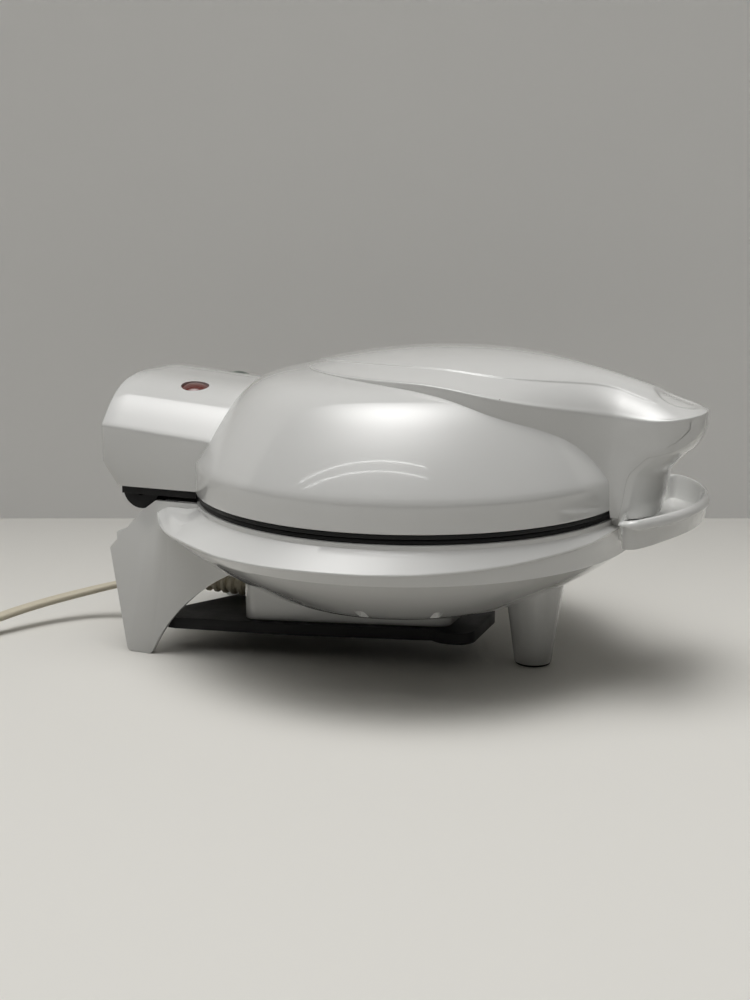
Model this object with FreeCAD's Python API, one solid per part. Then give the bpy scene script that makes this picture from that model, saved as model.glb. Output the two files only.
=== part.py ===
import FreeCAD, Part
import math
import os

# Donut maker: a hinged pair of round moulded housings, each with a heated plate of donut moulds.
# Sizes are in millimetres. X points to the handles and Z up. X = 0 is the centre of the plates here,
# and the finished pieces are moved along X so that the origin lies under the middle of the object.

# Lid housing
lid_radius = 104.0
lid_edge_z = 82.0
skirt_height = 11.5
skirt_draft = 0.4
dome_height = 50.0
dome_curve = ((1.9, 4.8), (8.0, 13.2), (18.0, 27.2), (30.0, 38.8), (54.0, 45.3))  # in and up from the skirt
wall = 2.5

# Raised top panel, which runs out into the upper handle
panel_back_x = -50.0
panel_wide_x = 36.0
panel_half_width = 61.0
panel_peak_x = 24.0
panel_peak_z = 149.6
panel_bend_radius = 290.0
panel_edge_back_z = 139.8
panel_edge_front_z = 123.5
edge_drop_start_x = 20.0
edge_drop_past_lid = 14.0
shoulder_power = 1.35
handle_half_width = 24.0
handle_straight = 12.5
handle_reach = 34.5
neck_bottom_z = 79.0
neck_length = 14.5
beak_curve = ((3.0, 11.0), (7.5, 19.5), (15.5, 27.5), (20.0, 36.0))  # forward and up from the neck's foot
cover_thickness = 2.5
cover_gap = 0.15

# Rear hinge box of the lid
box_half_width = 54.5
box_reach = 33.8
box_overlap = 38.0
box_side_height = 29.2
box_crown_height = 50.4
box_haunch = (39.5, 43.7)
box_tilt = 5.0
box_chamfer_in = 8.0
box_chamfer_up = 11.3

# Indicator lamps
lamp_inset = 1.5
lamp_y = 25.0
lamp_lean = 9.5
lens_radius = 6.5
lens_crown = 1.8
lens_proud = 0.3
lens_depth = 7.0
bulb_radius = 4.0
bulb_length = 13.0

# Hinge
hinge_reach = 16.0
hinge_z = 80.5
knuckle_radius = 9.5
knuckle_inner_y = 38.0
knuckle_width = 12.0
ear_radius = 8.5
ear_width = 11.6
hinge_side_gap = 0.4
hinge_swing_gap = 0.7
pin_radius = 3.0
pin_running_gap = 0.05
pin_end = -2.0
pin_head = 0.2
bracket_thickness = 3.6
bracket_behind_pin = 9.0
bracket_overlap = 20.0
bracket_side_gap = 2.5
bracket_screw_inset = 4.0
bracket_screw_y = 44.0

# Base housing
rim_step = 1.0
rim_z = 77.4
rim_band = 2.4
flange_reach = 9.0
flange_shift = -6.0
flange_z = 67.4
flange_tilt = 1.2  # degrees, front end up
flange_lip = 1.3
bowl_reach = 4.0
bowl_shift = -4.0
bowl_z = 61.0
bowl_curve = ((6.0, 7.0), (16.0, 13.2), (30.0, 21.4), (46.0, 28.6), (59.0, 30.4))  # in and down from the bowl's edge
bowl_depth = 30.8
vent_count = 14
vent_inset = 33.0
vent_phase = 0.71
vent_length = 11.0
vent_width = 4.5
rear_box_top_z = 76.3
rear_box_floor_z = 50.0
rear_box_front = 58.0
rear_box_step = ((13.0, 76.3), (-1.5, 64.5), (-8.9, 60.5), (-13.4, 58.6))  # x from the hinge pin, and z

# Lower handle
grip_reach = 36.4
grip_tip_radius = 80.0
grip_root_inset = 0.5
grip_root_half_width = 34.0
grip_shoulder = (16.0, 59.1)  # forward of the root, and half width
grip_corner = 12.0
grip_rim = 3.5
grip_dish_slope = 8.0
grip_dish_z = 77.4
# Top and underside of the lower handle have x from the root, and z
grip_top = ((0.0, 77.4), (5.5, 80.0), (14.5, 83.3), (22.5, 85.7), (29.5, 86.3), (36.9, 86.4))
grip_under = ((0.0, 63.5), (6.5, 68.0), (14.5, 71.8), (22.5, 73.6), (29.5, 74.8), (36.9, 75.0))
neck_room = 0.9

# Legs and foot
leg_thickness = 3.0
# Leg points have x from the hinge pin, and z
leg_top = ((10.1, 76.3), (1.8, 70.2), (-15.4, 51.4))
leg_toe = (-7.6, 5.5)
leg_arch = ((19.0, 20.9), (32.8, 33.8), (46.2, 42.5), (60.0, 48.4))
leg_corner = 3.0
foot_inset = 41.5
foot_top_radius = 15.0
foot_bottom_radius = 8.9
foot_height = 46.0
pad_thickness = 1.0
pad_inset = 0.6

# Donut plates
parting_gap = 0.3
plate_skin = 4.0
plate_side_gap = 1.0
plate_flange_inset = 1.0
donut_count = 6
donut_inset = 42.0
donut_web = 10.0
donut_post = 9.0
donut_depth = 9.0
donut_shoulder = 1.8
boss_wall = 2.5
boss_taper = 2.0

# Heaters and heat shields
element_tube = 3.2
element_sides = 8
element_gap = 40.0
element_pin_radius = 2.2
element_pin_length = 7.0
shield_inset = 11.7
shield_sheet = 0.8
shield_drop = 19.0
shield_slope = (13.0, 11.0)
thermostat_radius = 8.5
thermostat_height = 8.0
thermostat_tab = (5.0, 9.0, 1.0)
fuse_radius = 2.5
fuse_length = 17.0

# Wiring box, cord plate and strain relief under the bowl
wiring_floor_z = 17.5
wiring_roof = 2.2
wiring_rear = (-74.5, 37.0)
wiring_front = (24.0, 17.0)
wiring_corner = 7.0
wiring_wall = 2.2
wrap_thickness = 5.5
wrap_round = 9.0
wrap_half = ((-106.0, 39.0), (-53.0, 30.0), (19.0, 12.5), (25.0, 15.5), (28.5, 15.5))
wrap_notch_x = -84.0
screw_places = ((-44.0, 17.0), (6.0, 10.0))
screw_radius = 1.6
screw_head_radius = 3.2
screw_head_height = 2.0
screw_head_gap = 0.3
screw_length = 11.0
screw_boss_radius = 4.0
terminal_size = (28.0, 18.0, 8.5)
terminal_x = -22.0
terminal_screw_radius = 2.0
boot_y = -3.0
boot_z = 23.5
boot_neck_radius = 3.6
boot_flange = (4.4, 2.0)
boot_length = 40.0
boot_root_radius = 5.6
boot_tip_radius = 4.4
boot_rib_depth = 1.5
boot_ribs = 8

# Flat two-core cord, its coil, tie and plug
cord_width = 7.0
cord_thickness = 3.5
cord_edge = 1.3
cord_route = (
    (-129.0, -3.0, 23.5), (-146.0, -2.6, 21.0), (-163.0, -4.6, 17.0), (-178.0, -13.2, 13.4),
    (-190.0, -28.0, 11.2), (-199.5, -46.0, 9.4), (-208.0, -66.0, 6.6),
)
coil_centre = (-268.0, -92.0)
coil_start_radius = 44.0
coil_start_angle = -22.0
coil_pitch = 7.7
coil_turns_in = 1.5
coil_cross_turn = 0.5
coil_cross_share = 0.97
coil_turns_over = 0.19
coil_lead_in = 20.0
coil_tail = 44.0
coil_layer_gap = 0.7
tie_thickness = 0.8
tie_width = 6.0
tie_gap = 0.5
tie_angle = 150.0
plug_length = 27.0
plug_width = 21.0
plug_corner = 3.0
blade_length = 16.0
blade_width = 6.4
blade_thickness = 1.5
blade_spacing = 12.7

# Levels and fits that follow from the sizes above
skirt_top_z = lid_edge_z + skirt_height
handle_root_x = lid_radius
handle_nose_x = lid_radius + handle_straight
handle_front_x = lid_radius + handle_reach
neck_front_x = lid_radius + neck_length
edge_drop_end_x = lid_radius + edge_drop_past_lid
box_rear_x = -lid_radius - box_reach
box_front_x = box_overlap - lid_radius
lamp_x = lamp_inset - lid_radius
hinge_x = -lid_radius - hinge_reach
bracket_rear_x = hinge_x - bracket_behind_pin
bracket_front_x = bracket_overlap - lid_radius
bracket_screw_x = bracket_screw_inset - lid_radius
rim_radius = lid_radius - rim_step
flange_radius = rim_radius + flange_reach
bowl_radius = rim_radius + bowl_reach
vent_radius = bowl_radius - vent_inset
foot_x = bowl_shift + bowl_radius - foot_inset
grip_root_x = lid_radius - grip_root_inset
grip_tip_x = lid_radius + grip_reach
grip_shoulder_x = grip_root_x + grip_shoulder[0]
donut_pitch = lid_radius - donut_inset
donut_outer = (donut_pitch - donut_web) / 2
element_radius = donut_pitch
shield_radius = lid_radius - shield_inset
parting_z = (lid_edge_z + rim_z) / 2
lower_plate_z = parting_z - parting_gap / 2
upper_plate_z = parting_z + parting_gap / 2
bowl_floor_z = bowl_z - bowl_depth
wiring_roof_z = bowl_floor_z - wiring_roof
to_middle = -(grip_tip_x + box_rear_x) / 2

pieces = {}


def vec(x, y, z):
    return FreeCAD.Vector(x, y, z)


def keep(name, *solids):
    # A node holds one solid, or a group of separate identical ones
    pieces[name] = solids[0] if len(solids) == 1 else Part.makeCompound(list(solids))


def line(a, b):
    return Part.LineSegment(a, b).toShape()


def curve(points, start=None, end=None):
    spline = Part.BSplineCurve()
    if start and end:
        spline.interpolate(points, InitialTangent=start, FinalTangent=end)
    else:
        spline.interpolate(points)
    return spline.toShape()


def polygon(points):
    return Part.makePolygon(list(points) + [points[0]])


def turned(wire, x=0.0):
    # Solid of revolution about the vertical line through x
    return Part.Face(wire).revolve(vec(x, 0, 0), vec(0, 0, 1), 360)


def turned_section(points, x=0.0):
    return turned(polygon([vec(x + r, 0, z) for r, z in points]), x)


def upright(wire, height):
    return Part.Face(wire).extrude(vec(0, 0, height))


def across(wire, half):
    # Side view outline in the XZ plane, run across to both sides
    face = Part.Face(wire)
    face.translate(vec(0, -half, 0))
    return face.extrude(vec(0, 2 * half, 0))


def side_slab(points, y0, y1):
    face = Part.Face(polygon([vec(x, y0, z) for x, z in points]))
    return face.extrude(vec(0, y1 - y0, 0))


def post(x, y, z0, z1, radius, top_radius=None):
    if top_radius is None:
        return Part.makeCylinder(radius, z1 - z0, vec(x, y, z0))
    return Part.makeCone(radius, top_radius, z1 - z0, vec(x, y, z0))


def barrel(x, z, y0, y1, radius):
    return Part.makeCylinder(radius, y1 - y0, vec(x, y0, z), vec(0, 1, 0))


def ring(x, radius, z):
    return Part.Wire(Part.makeCircle(radius, vec(x, 0, z)))


def block(x0, x1, y0, y1, z0, z1):
    return Part.makeBox(x1 - x0, y1 - y0, z1 - z0, vec(x0, y0, z0))


def mirrored(shape):
    return shape.mirror(vec(0, 0, 0), vec(0, 1, 0))


def rounded_plan(points, radius, z):
    wire = polygon([vec(x, y, z) for x, y in points])
    return wire.makeOffset2D(radius, 0, False, False)


# Lid housing: turned dome, arched rear box and lofted top panel, hollowed from below

def dome_solid():
    foot = vec(lid_radius, 0, lid_edge_z)
    edge = vec(lid_radius - skirt_draft, 0, skirt_top_z)
    crown = vec(0, 0, skirt_top_z + dome_height)
    shape = [vec(edge.x - inward, 0, edge.z + up) for inward, up in dome_curve]
    outline = curve([edge] + shape + [crown], vec(0, 0, 1), vec(-1, 0, 0))
    floor = vec(0, 0, lid_edge_z)
    return turned(Part.Wire([line(floor, foot), line(foot, edge), outline, line(crown, floor)]))


def dome_hollow():
    # Straight-sided inside, at least one wall under the outer curve
    radius = lid_radius - wall
    haunch = dome_curve[2]
    shoulder = dome_curve[4]
    points = [
        (0, lid_edge_z), (radius, lid_edge_z), (radius, skirt_top_z - wall),
        (lid_radius - haunch[0] - 2 * wall, skirt_top_z + haunch[1] - 2 * wall),
        (lid_radius - shoulder[0] - 2 * wall, skirt_top_z + shoulder[1] - 2 * wall),
        (0, skirt_top_z + dome_height - 2.4 * wall),
    ]
    return turned_section(points)


def box_solid(inset):
    half = box_half_width - inset
    x = box_rear_x + inset
    side = vec(x, half, lid_edge_z + box_side_height - inset)
    haunch = vec(x, box_haunch[0] - inset / 2, lid_edge_z + box_haunch[1] - inset)
    crown = vec(x, 0, lid_edge_z + box_crown_height - inset)
    foot = vec(x, half, lid_edge_z)
    other = [vec(p.x, -p.y, p.z) for p in (haunch, side, foot)]
    arch = curve([side, haunch, crown, other[0], other[1]])
    outline = Part.Wire([line(foot, side), arch, line(other[1], other[2]), line(other[2], foot)])
    length = box_front_x - x
    solid = Part.Face(outline).extrude(vec(length, 0, -length * math.tan(math.radians(box_tilt))))
    below = block(x - 1, box_front_x + 1, -half - 1, half + 1, lid_edge_z - box_side_height, lid_edge_z)
    lean = inset / math.cos(math.atan2(box_chamfer_in, box_chamfer_up))
    chamfer = [
        (box_rear_x - 1, lid_edge_z - 1),
        (box_rear_x + box_chamfer_in + lean, lid_edge_z - 1),
        (box_rear_x + box_chamfer_in + lean, lid_edge_z),
        (box_rear_x + lean - inset, lid_edge_z + box_chamfer_up),
        (box_rear_x - 1, lid_edge_z + box_chamfer_up),
    ]
    return solid.cut(below).cut(side_slab(chamfer, -half - 1, half + 1))


def smooth_step(share):
    share = min(max(share, 0.0), 1.0)
    return share * share * (3 - 2 * share)


def panel_half(x):
    # Plan: half an ellipse behind, a flowing shoulder, then the straight handle with a round nose
    if x <= panel_wide_x:
        share = (panel_wide_x - x) / (panel_wide_x - panel_back_x)
        return panel_half_width * math.sqrt(1 - share * share)
    if x <= handle_root_x:
        share = ((x - panel_wide_x) / (handle_root_x - panel_wide_x)) ** shoulder_power
        fall = (1 + math.cos(math.pi * share)) / 2
        return handle_half_width + (panel_half_width - handle_half_width) * fall
    if x <= handle_nose_x:
        return handle_half_width
    return math.sqrt(handle_half_width ** 2 - (x - handle_nose_x) ** 2)


def panel_crown(x):
    drop = panel_bend_radius - math.sqrt(panel_bend_radius ** 2 - (x - panel_peak_x) ** 2)
    return panel_peak_z - drop


def panel_edge(x):
    share = (x - edge_drop_start_x) / (edge_drop_end_x - edge_drop_start_x)
    level = panel_edge_back_z - (panel_edge_back_z - panel_edge_front_z) * smooth_step(share)
    return min(level, panel_crown(x) - 0.4)


def panel_section(x, inset):
    half = panel_half(x) - inset
    low = vec(x, half, neck_bottom_z)
    high = vec(x, half, panel_edge(x) - inset)
    top = vec(x, 0, panel_crown(x) - inset)
    low_far = vec(x, -half, neck_bottom_z)
    high_far = vec(x, -half, panel_edge(x) - inset)
    arc = Part.Arc(high, top, high_far).toShape()
    return Part.Wire([line(low, high), arc, line(high_far, low_far), line(low_far, low)])


def panel_solid(inset):
    length = panel_wide_x - panel_back_x
    stations = [panel_back_x + length * share for share in (0.006, 0.05, 0.15, 0.35, 0.65, 1.0)]
    shoulder = handle_root_x - panel_wide_x
    stations += [panel_wide_x + shoulder * share for share in (0.25, 0.5, 0.75, 1.0)]
    nose = handle_front_x - handle_nose_x
    stations += [handle_nose_x + nose * share for share in (0.0, 0.45, 0.8, 1.0)]
    if inset:
        stations = [x for x in stations if panel_half(x) > 3 * inset][:-1]
        stations.append(handle_front_x - 1.6 * inset)
    return Part.makeLoft([panel_section(x, inset) for x in stations], True, False)


def beak_space():
    # Room in front of and under the handle, in side view
    foot = vec(neck_front_x, 0, neck_bottom_z)
    points = [vec(foot.x + forward, 0, foot.z + up) for forward, up in beak_curve]
    bend = curve([foot] + points)
    tip = points[-1]
    out = grip_tip_x + 20
    rest = [vec(out, 0, tip.z), vec(out, 0, 40), vec(40, 0, 40), vec(40, 0, neck_bottom_z)]
    edges = [bend, line(tip, rest[0])]
    edges += [line(a, b) for a, b in zip(rest, rest[1:] + [foot])]
    return across(Part.Wire(edges), panel_half_width + 10)


def lens_place(shape, side):
    top = lid_edge_z + box_crown_height - (lamp_x - box_rear_x) * math.tan(math.radians(box_tilt))
    fall = (box_crown_height - box_haunch[1]) * (lamp_y / box_haunch[0]) ** 2
    shape.rotate(vec(0, 0, 0), vec(0, 1, 0), box_tilt)
    shape.rotate(vec(0, 0, 0), vec(1, 0, 0), -side * lamp_lean)
    shape.translate(vec(lamp_x, side * lamp_y, top - fall))
    return shape


def lamp_pair(side, lens_name, bulb_name):
    base_z = -lens_depth
    sphere_radius = (lens_radius ** 2 + lens_crown ** 2) / (2 * lens_crown)
    cap = Part.makeSphere(sphere_radius, vec(0, 0, lens_proud + lens_crown - sphere_radius))
    body = post(0, 0, base_z, lens_proud, lens_radius)
    cap = cap.common(post(0, 0, lens_proud, lens_proud + lens_crown + 1, lens_radius))
    keep(lens_name, lens_place(body.fuse(cap).removeSplitter(), side))
    keep(bulb_name, lens_place(post(0, 0, base_z - bulb_length, base_z, bulb_radius), side))


def lens_hole(side):
    return lens_place(post(0, 0, -lens_depth - bulb_length, lens_depth, lens_radius), side)


def ear_span(side, gap=0.0):
    outer = knuckle_inner_y - hinge_side_gap + gap
    inner = outer - ear_width - 2 * gap
    return (inner, outer) if side > 0 else (-outer, -inner)


def lid_housing():
    space = beak_space()
    panel = panel_solid(0)
    outer = dome_solid().fuse([box_solid(0), panel.cut(space)])
    skirt = post(0, 0, neck_bottom_z, skirt_top_z + dome_curve[2][1], lid_radius)
    skirt = skirt.cut(post(0, 0, neck_bottom_z, skirt_top_z + dome_curve[2][1], lid_radius - wall))
    inner_panel = panel_solid(wall).cut(skirt)
    plate_room = post(0, 0, neck_bottom_z - 1, lid_edge_z, lid_radius)
    shell = outer.cut([dome_hollow(), box_solid(wall), inner_panel, plate_room])
    for side in (-1, 1):
        y0, y1 = ear_span(side, hinge_side_gap)
        shell = shell.cut(barrel(hinge_x, hinge_z, y0, y1, ear_radius + hinge_swing_gap))
        ends = sorted((side * (knuckle_inner_y - 1), side * (knuckle_inner_y + knuckle_width + 1)))
        shell = shell.cut(barrel(hinge_x, hinge_z, ends[0], ends[1], pin_radius + hinge_swing_gap))
        shell = shell.cut(lens_hole(side))
        shell = shell.fuse(bracket_boss(side))
    keep("lid_shell", shell.removeSplitter())
    sleeve = panel_solid(wall + cover_gap).cut(post(0, 0, 0, panel_peak_z, lid_radius + cover_gap))
    lining = space.copy()
    lining.translate(vec(-cover_thickness, 0, cover_thickness))
    keep("upper_handle_cover", sleeve.common(lining).cut(space).removeSplitter())


def bracket_boss(side):
    # Screw post that hangs from the roof of the rear box
    y = side * bracket_screw_y
    boss = post(bracket_screw_x, y, lid_edge_z, lid_edge_z + box_crown_height, screw_boss_radius)
    boss = boss.common(box_solid(wall / 2))
    return boss.cut(post(bracket_screw_x, y, lid_edge_z, lid_edge_z + screw_length, screw_radius))


# Hinge: bracket with knuckles on the lid, ears and pins on the base

def lid_bracket():
    z0 = lid_edge_z - bracket_thickness
    half = box_half_width - bracket_side_gap
    plate = block(bracket_rear_x, bracket_front_x, -half, half, z0, lid_edge_z)
    plate = plate.cut(post(0, 0, z0 - 1, lid_edge_z + 1, lid_radius - plate_flange_inset + hinge_side_gap))
    screws = []
    for side in (-1, 1):
        y = side * bracket_screw_y
        y0, y1 = ear_span(side, hinge_side_gap)
        plate = plate.cut(block(bracket_rear_x - 1, hinge_x + ear_radius + hinge_swing_gap, y0, y1,
                                z0 - 1, lid_edge_z + 1))
        k0 = knuckle_inner_y if side > 0 else -knuckle_inner_y - knuckle_width
        knuckle = barrel(hinge_x, hinge_z, k0, k0 + knuckle_width, knuckle_radius)
        upper = block(hinge_x - 2 * knuckle_radius, hinge_x + 2 * knuckle_radius, k0, k0 + knuckle_width,
                      lid_edge_z, lid_edge_z + knuckle_radius)
        plate = plate.fuse(knuckle.cut(upper))
        plate = plate.cut(barrel(hinge_x, hinge_z, k0 - 1, k0 + knuckle_width + 1,
                                 pin_radius + pin_running_gap))
        seat = post(bracket_screw_x, y, z0, z0 + screw_head_height + screw_head_gap,
                    screw_head_radius + screw_head_gap)
        plate = plate.cut([seat, post(bracket_screw_x, y, z0, lid_edge_z, screw_radius + screw_head_gap)])
        screws.append(screw(bracket_screw_x, y, z0 + screw_head_gap, lid_edge_z + screw_length))
    keep("lid_hinge_bracket", plate.removeSplitter())
    keep("lid_hinge_screws", *screws)


def screw(x, y, head_z, tip_z):
    head = post(x, y, head_z, head_z + screw_head_height, screw_head_radius)
    return head.fuse(post(x, y, head_z, tip_z, screw_radius)).removeSplitter()


def hinge_carriers(base_box):
    ears = []
    for side in (-1, 1):
        y0, y1 = ear_span(side)
        web = [
            (hinge_x + 1.0, hinge_z - 8.0), (hinge_x + 8.3, rear_box_floor_z + 10),
            (hinge_x + 24, rear_box_floor_z + 10), (hinge_x + 24, rear_box_top_z),
            (hinge_x + 8.0, rear_box_top_z), (hinge_x + 6.0, hinge_z),
        ]
        ear = side_slab(web, y0, y1).fuse(barrel(hinge_x, hinge_z, y0, y1, ear_radius))
        ear = ear.cut([base_box, barrel(hinge_x, hinge_z, y0 - 1, y1 + 1, pin_radius)])
        ears.append(ear.removeSplitter())
        ends = sorted((side * (knuckle_inner_y + knuckle_width + pin_end),
                       side * (knuckle_inner_y - hinge_side_gap - ear_width - pin_head)))
        keep("hinge_pin_near" if side < 0 else "hinge_pin_far",
             barrel(hinge_x, hinge_z, ends[0], ends[1], pin_radius))
    keep("hinge_ears", *ears)


# Base housing: rim, sloping band, bowl, rear box and lower handle

def flange_ring(inset, z):
    wire = ring(flange_shift, flange_radius - 1.3 * inset, z)
    wire.rotate(vec(flange_shift, 0, z), vec(0, 1, 0), -flange_tilt)
    return wire


def base_round(inset):
    # Each band joins two circles whose centres may differ
    top = rim_z if not inset else rim_z + 1
    bands = [
        (ring(0, rim_radius - inset, top), ring(0, rim_radius - inset, rim_z - rim_band - inset / 2)),
        (ring(0, rim_radius - inset, rim_z - rim_band - inset / 2),
         flange_ring(inset, flange_z - inset / 3)),
        (flange_ring(inset, flange_z - inset / 3), flange_ring(inset, flange_z - flange_lip)),
        (flange_ring(inset, flange_z - flange_lip), ring(bowl_shift, bowl_radius - inset, bowl_z)),
    ]
    solids = [Part.makeLoft(list(pair), True, True) for pair in bands]
    return solids[0].fuse(solids[1:])


def bowl_solid():
    edge = vec(bowl_shift + bowl_radius, 0, bowl_z)
    points = [vec(edge.x - inward, 0, bowl_z - down) for inward, down in bowl_curve]
    outline = curve([edge] + points)
    low = points[-1]
    floor = vec(low.x - bowl_depth / 4, 0, bowl_floor_z)
    middle = vec(bowl_shift, 0, bowl_floor_z)
    top = vec(bowl_shift, 0, bowl_z)
    wire = Part.Wire([outline, line(low, floor), line(floor, middle), line(middle, top), line(top, edge)])
    return turned(wire, bowl_shift)


def bowl_hollow():
    points = [(0, bowl_floor_z + wall)]
    for inward, down in reversed(bowl_curve):
        points.append((bowl_radius - inward - 1.5 * wall, bowl_z - down + 1.2 * wall))
    points += [(bowl_radius - wall, bowl_z), (0, bowl_z)]
    return turned_section(points, bowl_shift)


def rear_box_solid():
    half = box_half_width - leg_thickness
    step = [(hinge_x + x, z) for x, z in rear_box_step]
    front = hinge_x + rear_box_front
    points = [(front, rear_box_top_z)] + step + [(step[-1][0], rear_box_floor_z), (front, rear_box_floor_z)]
    return side_slab(points, -half, half)


def grip_cutter(profile, ends, half):
    # Runs across between a curved profile and a straight line that joins the ends
    points = [vec(ends[0].x, 0, profile[0][1])] + [vec(grip_root_x + x, 0, z) for x, z in profile]
    points.append(vec(ends[1].x, 0, profile[-1][1]))
    edges = [curve(points), line(points[-1], ends[1]), line(ends[1], ends[0]), line(ends[0], points[0])]
    return across(Part.Wire(edges), half)


def lower_grip():
    # Tongue with round shoulders on a narrower root, with a raised rim and a sloping dish for the thumb
    centre_x = grip_tip_x - grip_tip_radius
    high = rim_z + 30
    half = grip_shoulder[1]
    plan = [
        (grip_root_x - 8, -grip_root_half_width), (grip_root_x, -grip_root_half_width),
        (grip_shoulder_x, -half), (grip_tip_x + 5, -half), (grip_tip_x + 5, half),
        (grip_shoulder_x, half), (grip_root_x, grip_root_half_width), (grip_root_x - 8, grip_root_half_width),
    ]
    low = grip_under[0][1] - 5
    prism = upright(polygon([vec(x, y, low) for x, y in plan]), high - low)
    prism = prism.common(post(centre_x, 0, low, high, grip_tip_radius))
    wide = max(v.Y for v in prism.Vertexes)
    uprights = [e for e in prism.Edges if e.BoundBox.YLength < 0.01]
    corners = [e for e in uprights if abs(abs(e.BoundBox.YMax) - wide) < 0.01]
    prism = prism.makeFillet(grip_corner, corners)
    top_face = [f for f in prism.Faces if f.BoundBox.ZMin > high - 0.01][0]
    mouth = top_face.OuterWire.makeOffset2D(-grip_rim, 0, False, False)
    floor = top_face.OuterWire.makeOffset2D(-grip_rim - grip_dish_slope, 0, False, False)
    mouth.translate(vec(0, 0, grip_top[-1][1] + 1 - high))
    floor.translate(vec(0, 0, grip_dish_z - high))
    dish = Part.makeLoft([floor, mouth], True, True)
    ends = [vec(grip_root_x - 10, 0, high + 1), vec(grip_tip_x + 10, 0, high + 1)]
    over = grip_cutter(grip_top, ends, half + 5)
    under = grip_cutter(grip_under, [vec(end.x, 0, low - 1) for end in ends], half + 5)
    neck = block(ends[0].x, neck_front_x + 2 * neck_room, -handle_half_width - neck_room,
                 handle_half_width + neck_room, neck_bottom_z - neck_room, high)
    grip = prism.cut([dish, over, under, neck])
    inside = post(0, 0, low - 1, rim_z, rim_radius - wall / 2)
    return grip.cut([inside, post(0, 0, rim_z, high, rim_radius + cover_gap)])


def vent_slots():
    slots = []
    for index in range(vent_count):
        slot = block(vent_radius - vent_length / 2, vent_radius + vent_length / 2, -vent_width / 2,
                     vent_width / 2, bowl_floor_z - 1, bowl_z)
        slot.rotate(vec(0, 0, 0), vec(0, 0, 1), 360.0 * (index + vent_phase) / vent_count)
        slot.translate(vec(bowl_shift, 0, 0))
        slots.append(slot)
    return slots


def base_housing():
    body = base_round(0).fuse([bowl_solid()])
    rear = rear_box_solid()
    shell = body.fuse([rear, lower_grip()])
    shell = shell.cut(base_round(wall).fuse([bowl_hollow()]))
    keep("base_shell", shell.cut(vent_slots()).removeSplitter())
    hinge_carriers(body.fuse(rear))
    legs(body)
    front_foot(body)
    return body


def legs(body):
    y1 = -(box_half_width - leg_thickness)
    y0 = -box_half_width
    top = [vec(hinge_x + x, y0, z) for x, z in leg_top]
    arch = [vec(hinge_x + x, y0, z) for x, z in leg_arch]
    heel, tip = [vec(hinge_x + x, y0, 0) for x in leg_toe]
    close = vec(arch[-1].x, y0, leg_top[0][1])
    outline = [line(close, top[0])] + [line(a, b) for a, b in zip(top, top[1:])]
    outline += [line(top[-1], heel), line(heel, tip)]
    outline += [curve([tip] + arch), line(arch[-1], close)]
    slab = Part.Face(Part.Wire(outline)).extrude(vec(0, y1 - y0, 0))
    toes = [e for e in slab.Edges if e.BoundBox.ZMax < 0.01 and e.BoundBox.XLength < 0.01]
    slab = slab.makeFillet(leg_corner, toes)
    leg = slab.cut(body)
    leg = max(leg.Solids, key=lambda s: s.Volume)
    keep("rear_leg_near", leg)
    keep("rear_leg_far", mirrored(leg))


def front_foot(body):
    cone = post(foot_x, 0, pad_thickness, foot_height, foot_bottom_radius, foot_top_radius)
    keep("front_foot", cone.cut(body).removeSplitter())
    keep("front_foot_pad", post(foot_x, 0, 0, pad_thickness, foot_bottom_radius - pad_inset))


# Plates: round castings with ring moulds sunk in one face and bosses behind

def donut_places():
    places = [(0.0, 0.0)]
    for index in range(donut_count):
        angle = 2 * math.pi * index / donut_count
        places.append((donut_pitch * math.cos(angle), donut_pitch * math.sin(angle)))
    return places


def donut_plate(seat_radius, shell_radius, seat_height):
    # Built face up with the parting face at z = 0
    plate = post(0, 0, -seat_height, 0, seat_radius)
    plate = plate.fuse(post(0, 0, -plate_skin, 0, shell_radius - plate_side_gap))
    middle = (donut_outer + donut_post) / 2
    half = donut_depth * 0.6
    groove = [
        (donut_post, 0), (donut_post + donut_shoulder, -half), (middle, -donut_depth),
        (donut_outer - donut_shoulder, -half), (donut_outer, 0),
    ]
    bosses = []
    moulds = []
    low = donut_depth + boss_wall
    for x, y in donut_places():
        bosses.append(post(x, y, -low, -plate_skin, donut_outer + boss_wall - boss_taper,
                           donut_outer + boss_wall))
        mould = turned_section(groove)
        mould.translate(vec(x, y, 0))
        moulds.append(mould)
    return plate.fuse(bosses).cut(moulds).removeSplitter()


def heater(z, down):
    # C-shaped tube with two upright cold ends beside the gap
    half_gap = math.radians(element_gap / 2)
    turns = [2 * math.pi * (index + 0.5) / element_sides for index in range(element_sides)]
    reach = element_tube / math.cos(math.pi / element_sides)
    section = [vec(element_radius + reach * math.cos(a), 0, z + reach * math.sin(a)) for a in turns]
    tube = Part.Face(polygon(section)).revolve(vec(0, 0, 0), vec(0, 0, 1), 360 - element_gap)
    tube.rotate(vec(0, 0, 0), vec(0, 0, 1), 180 + element_gap / 2)
    for side in (-1, 1):
        angle = math.pi + side * (half_gap + element_pin_radius / element_radius)
        x = element_radius * math.cos(angle)
        y = element_radius * math.sin(angle)
        ends = sorted((z, z + down * element_pin_length))
        tube = tube.fuse(post(x, y, ends[0], ends[1], element_pin_radius))
    return tube.removeSplitter()


def heat_shield(seat_z, down):
    # Shallow metal pan whose rim stands on the back of the plate
    floor_z = seat_z + down * shield_drop
    inner = shield_radius - shield_sheet
    run, rise = shield_slope
    points = [
        (0, floor_z), (shield_radius - run, floor_z), (shield_radius, floor_z - down * rise),
        (shield_radius, seat_z), (inner, seat_z), (inner, floor_z - down * (rise + shield_sheet / 2)),
        (inner - run + shield_sheet / 2, floor_z - down * shield_sheet), (0, floor_z - down * shield_sheet),
    ]
    return turned_section(points)


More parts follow.
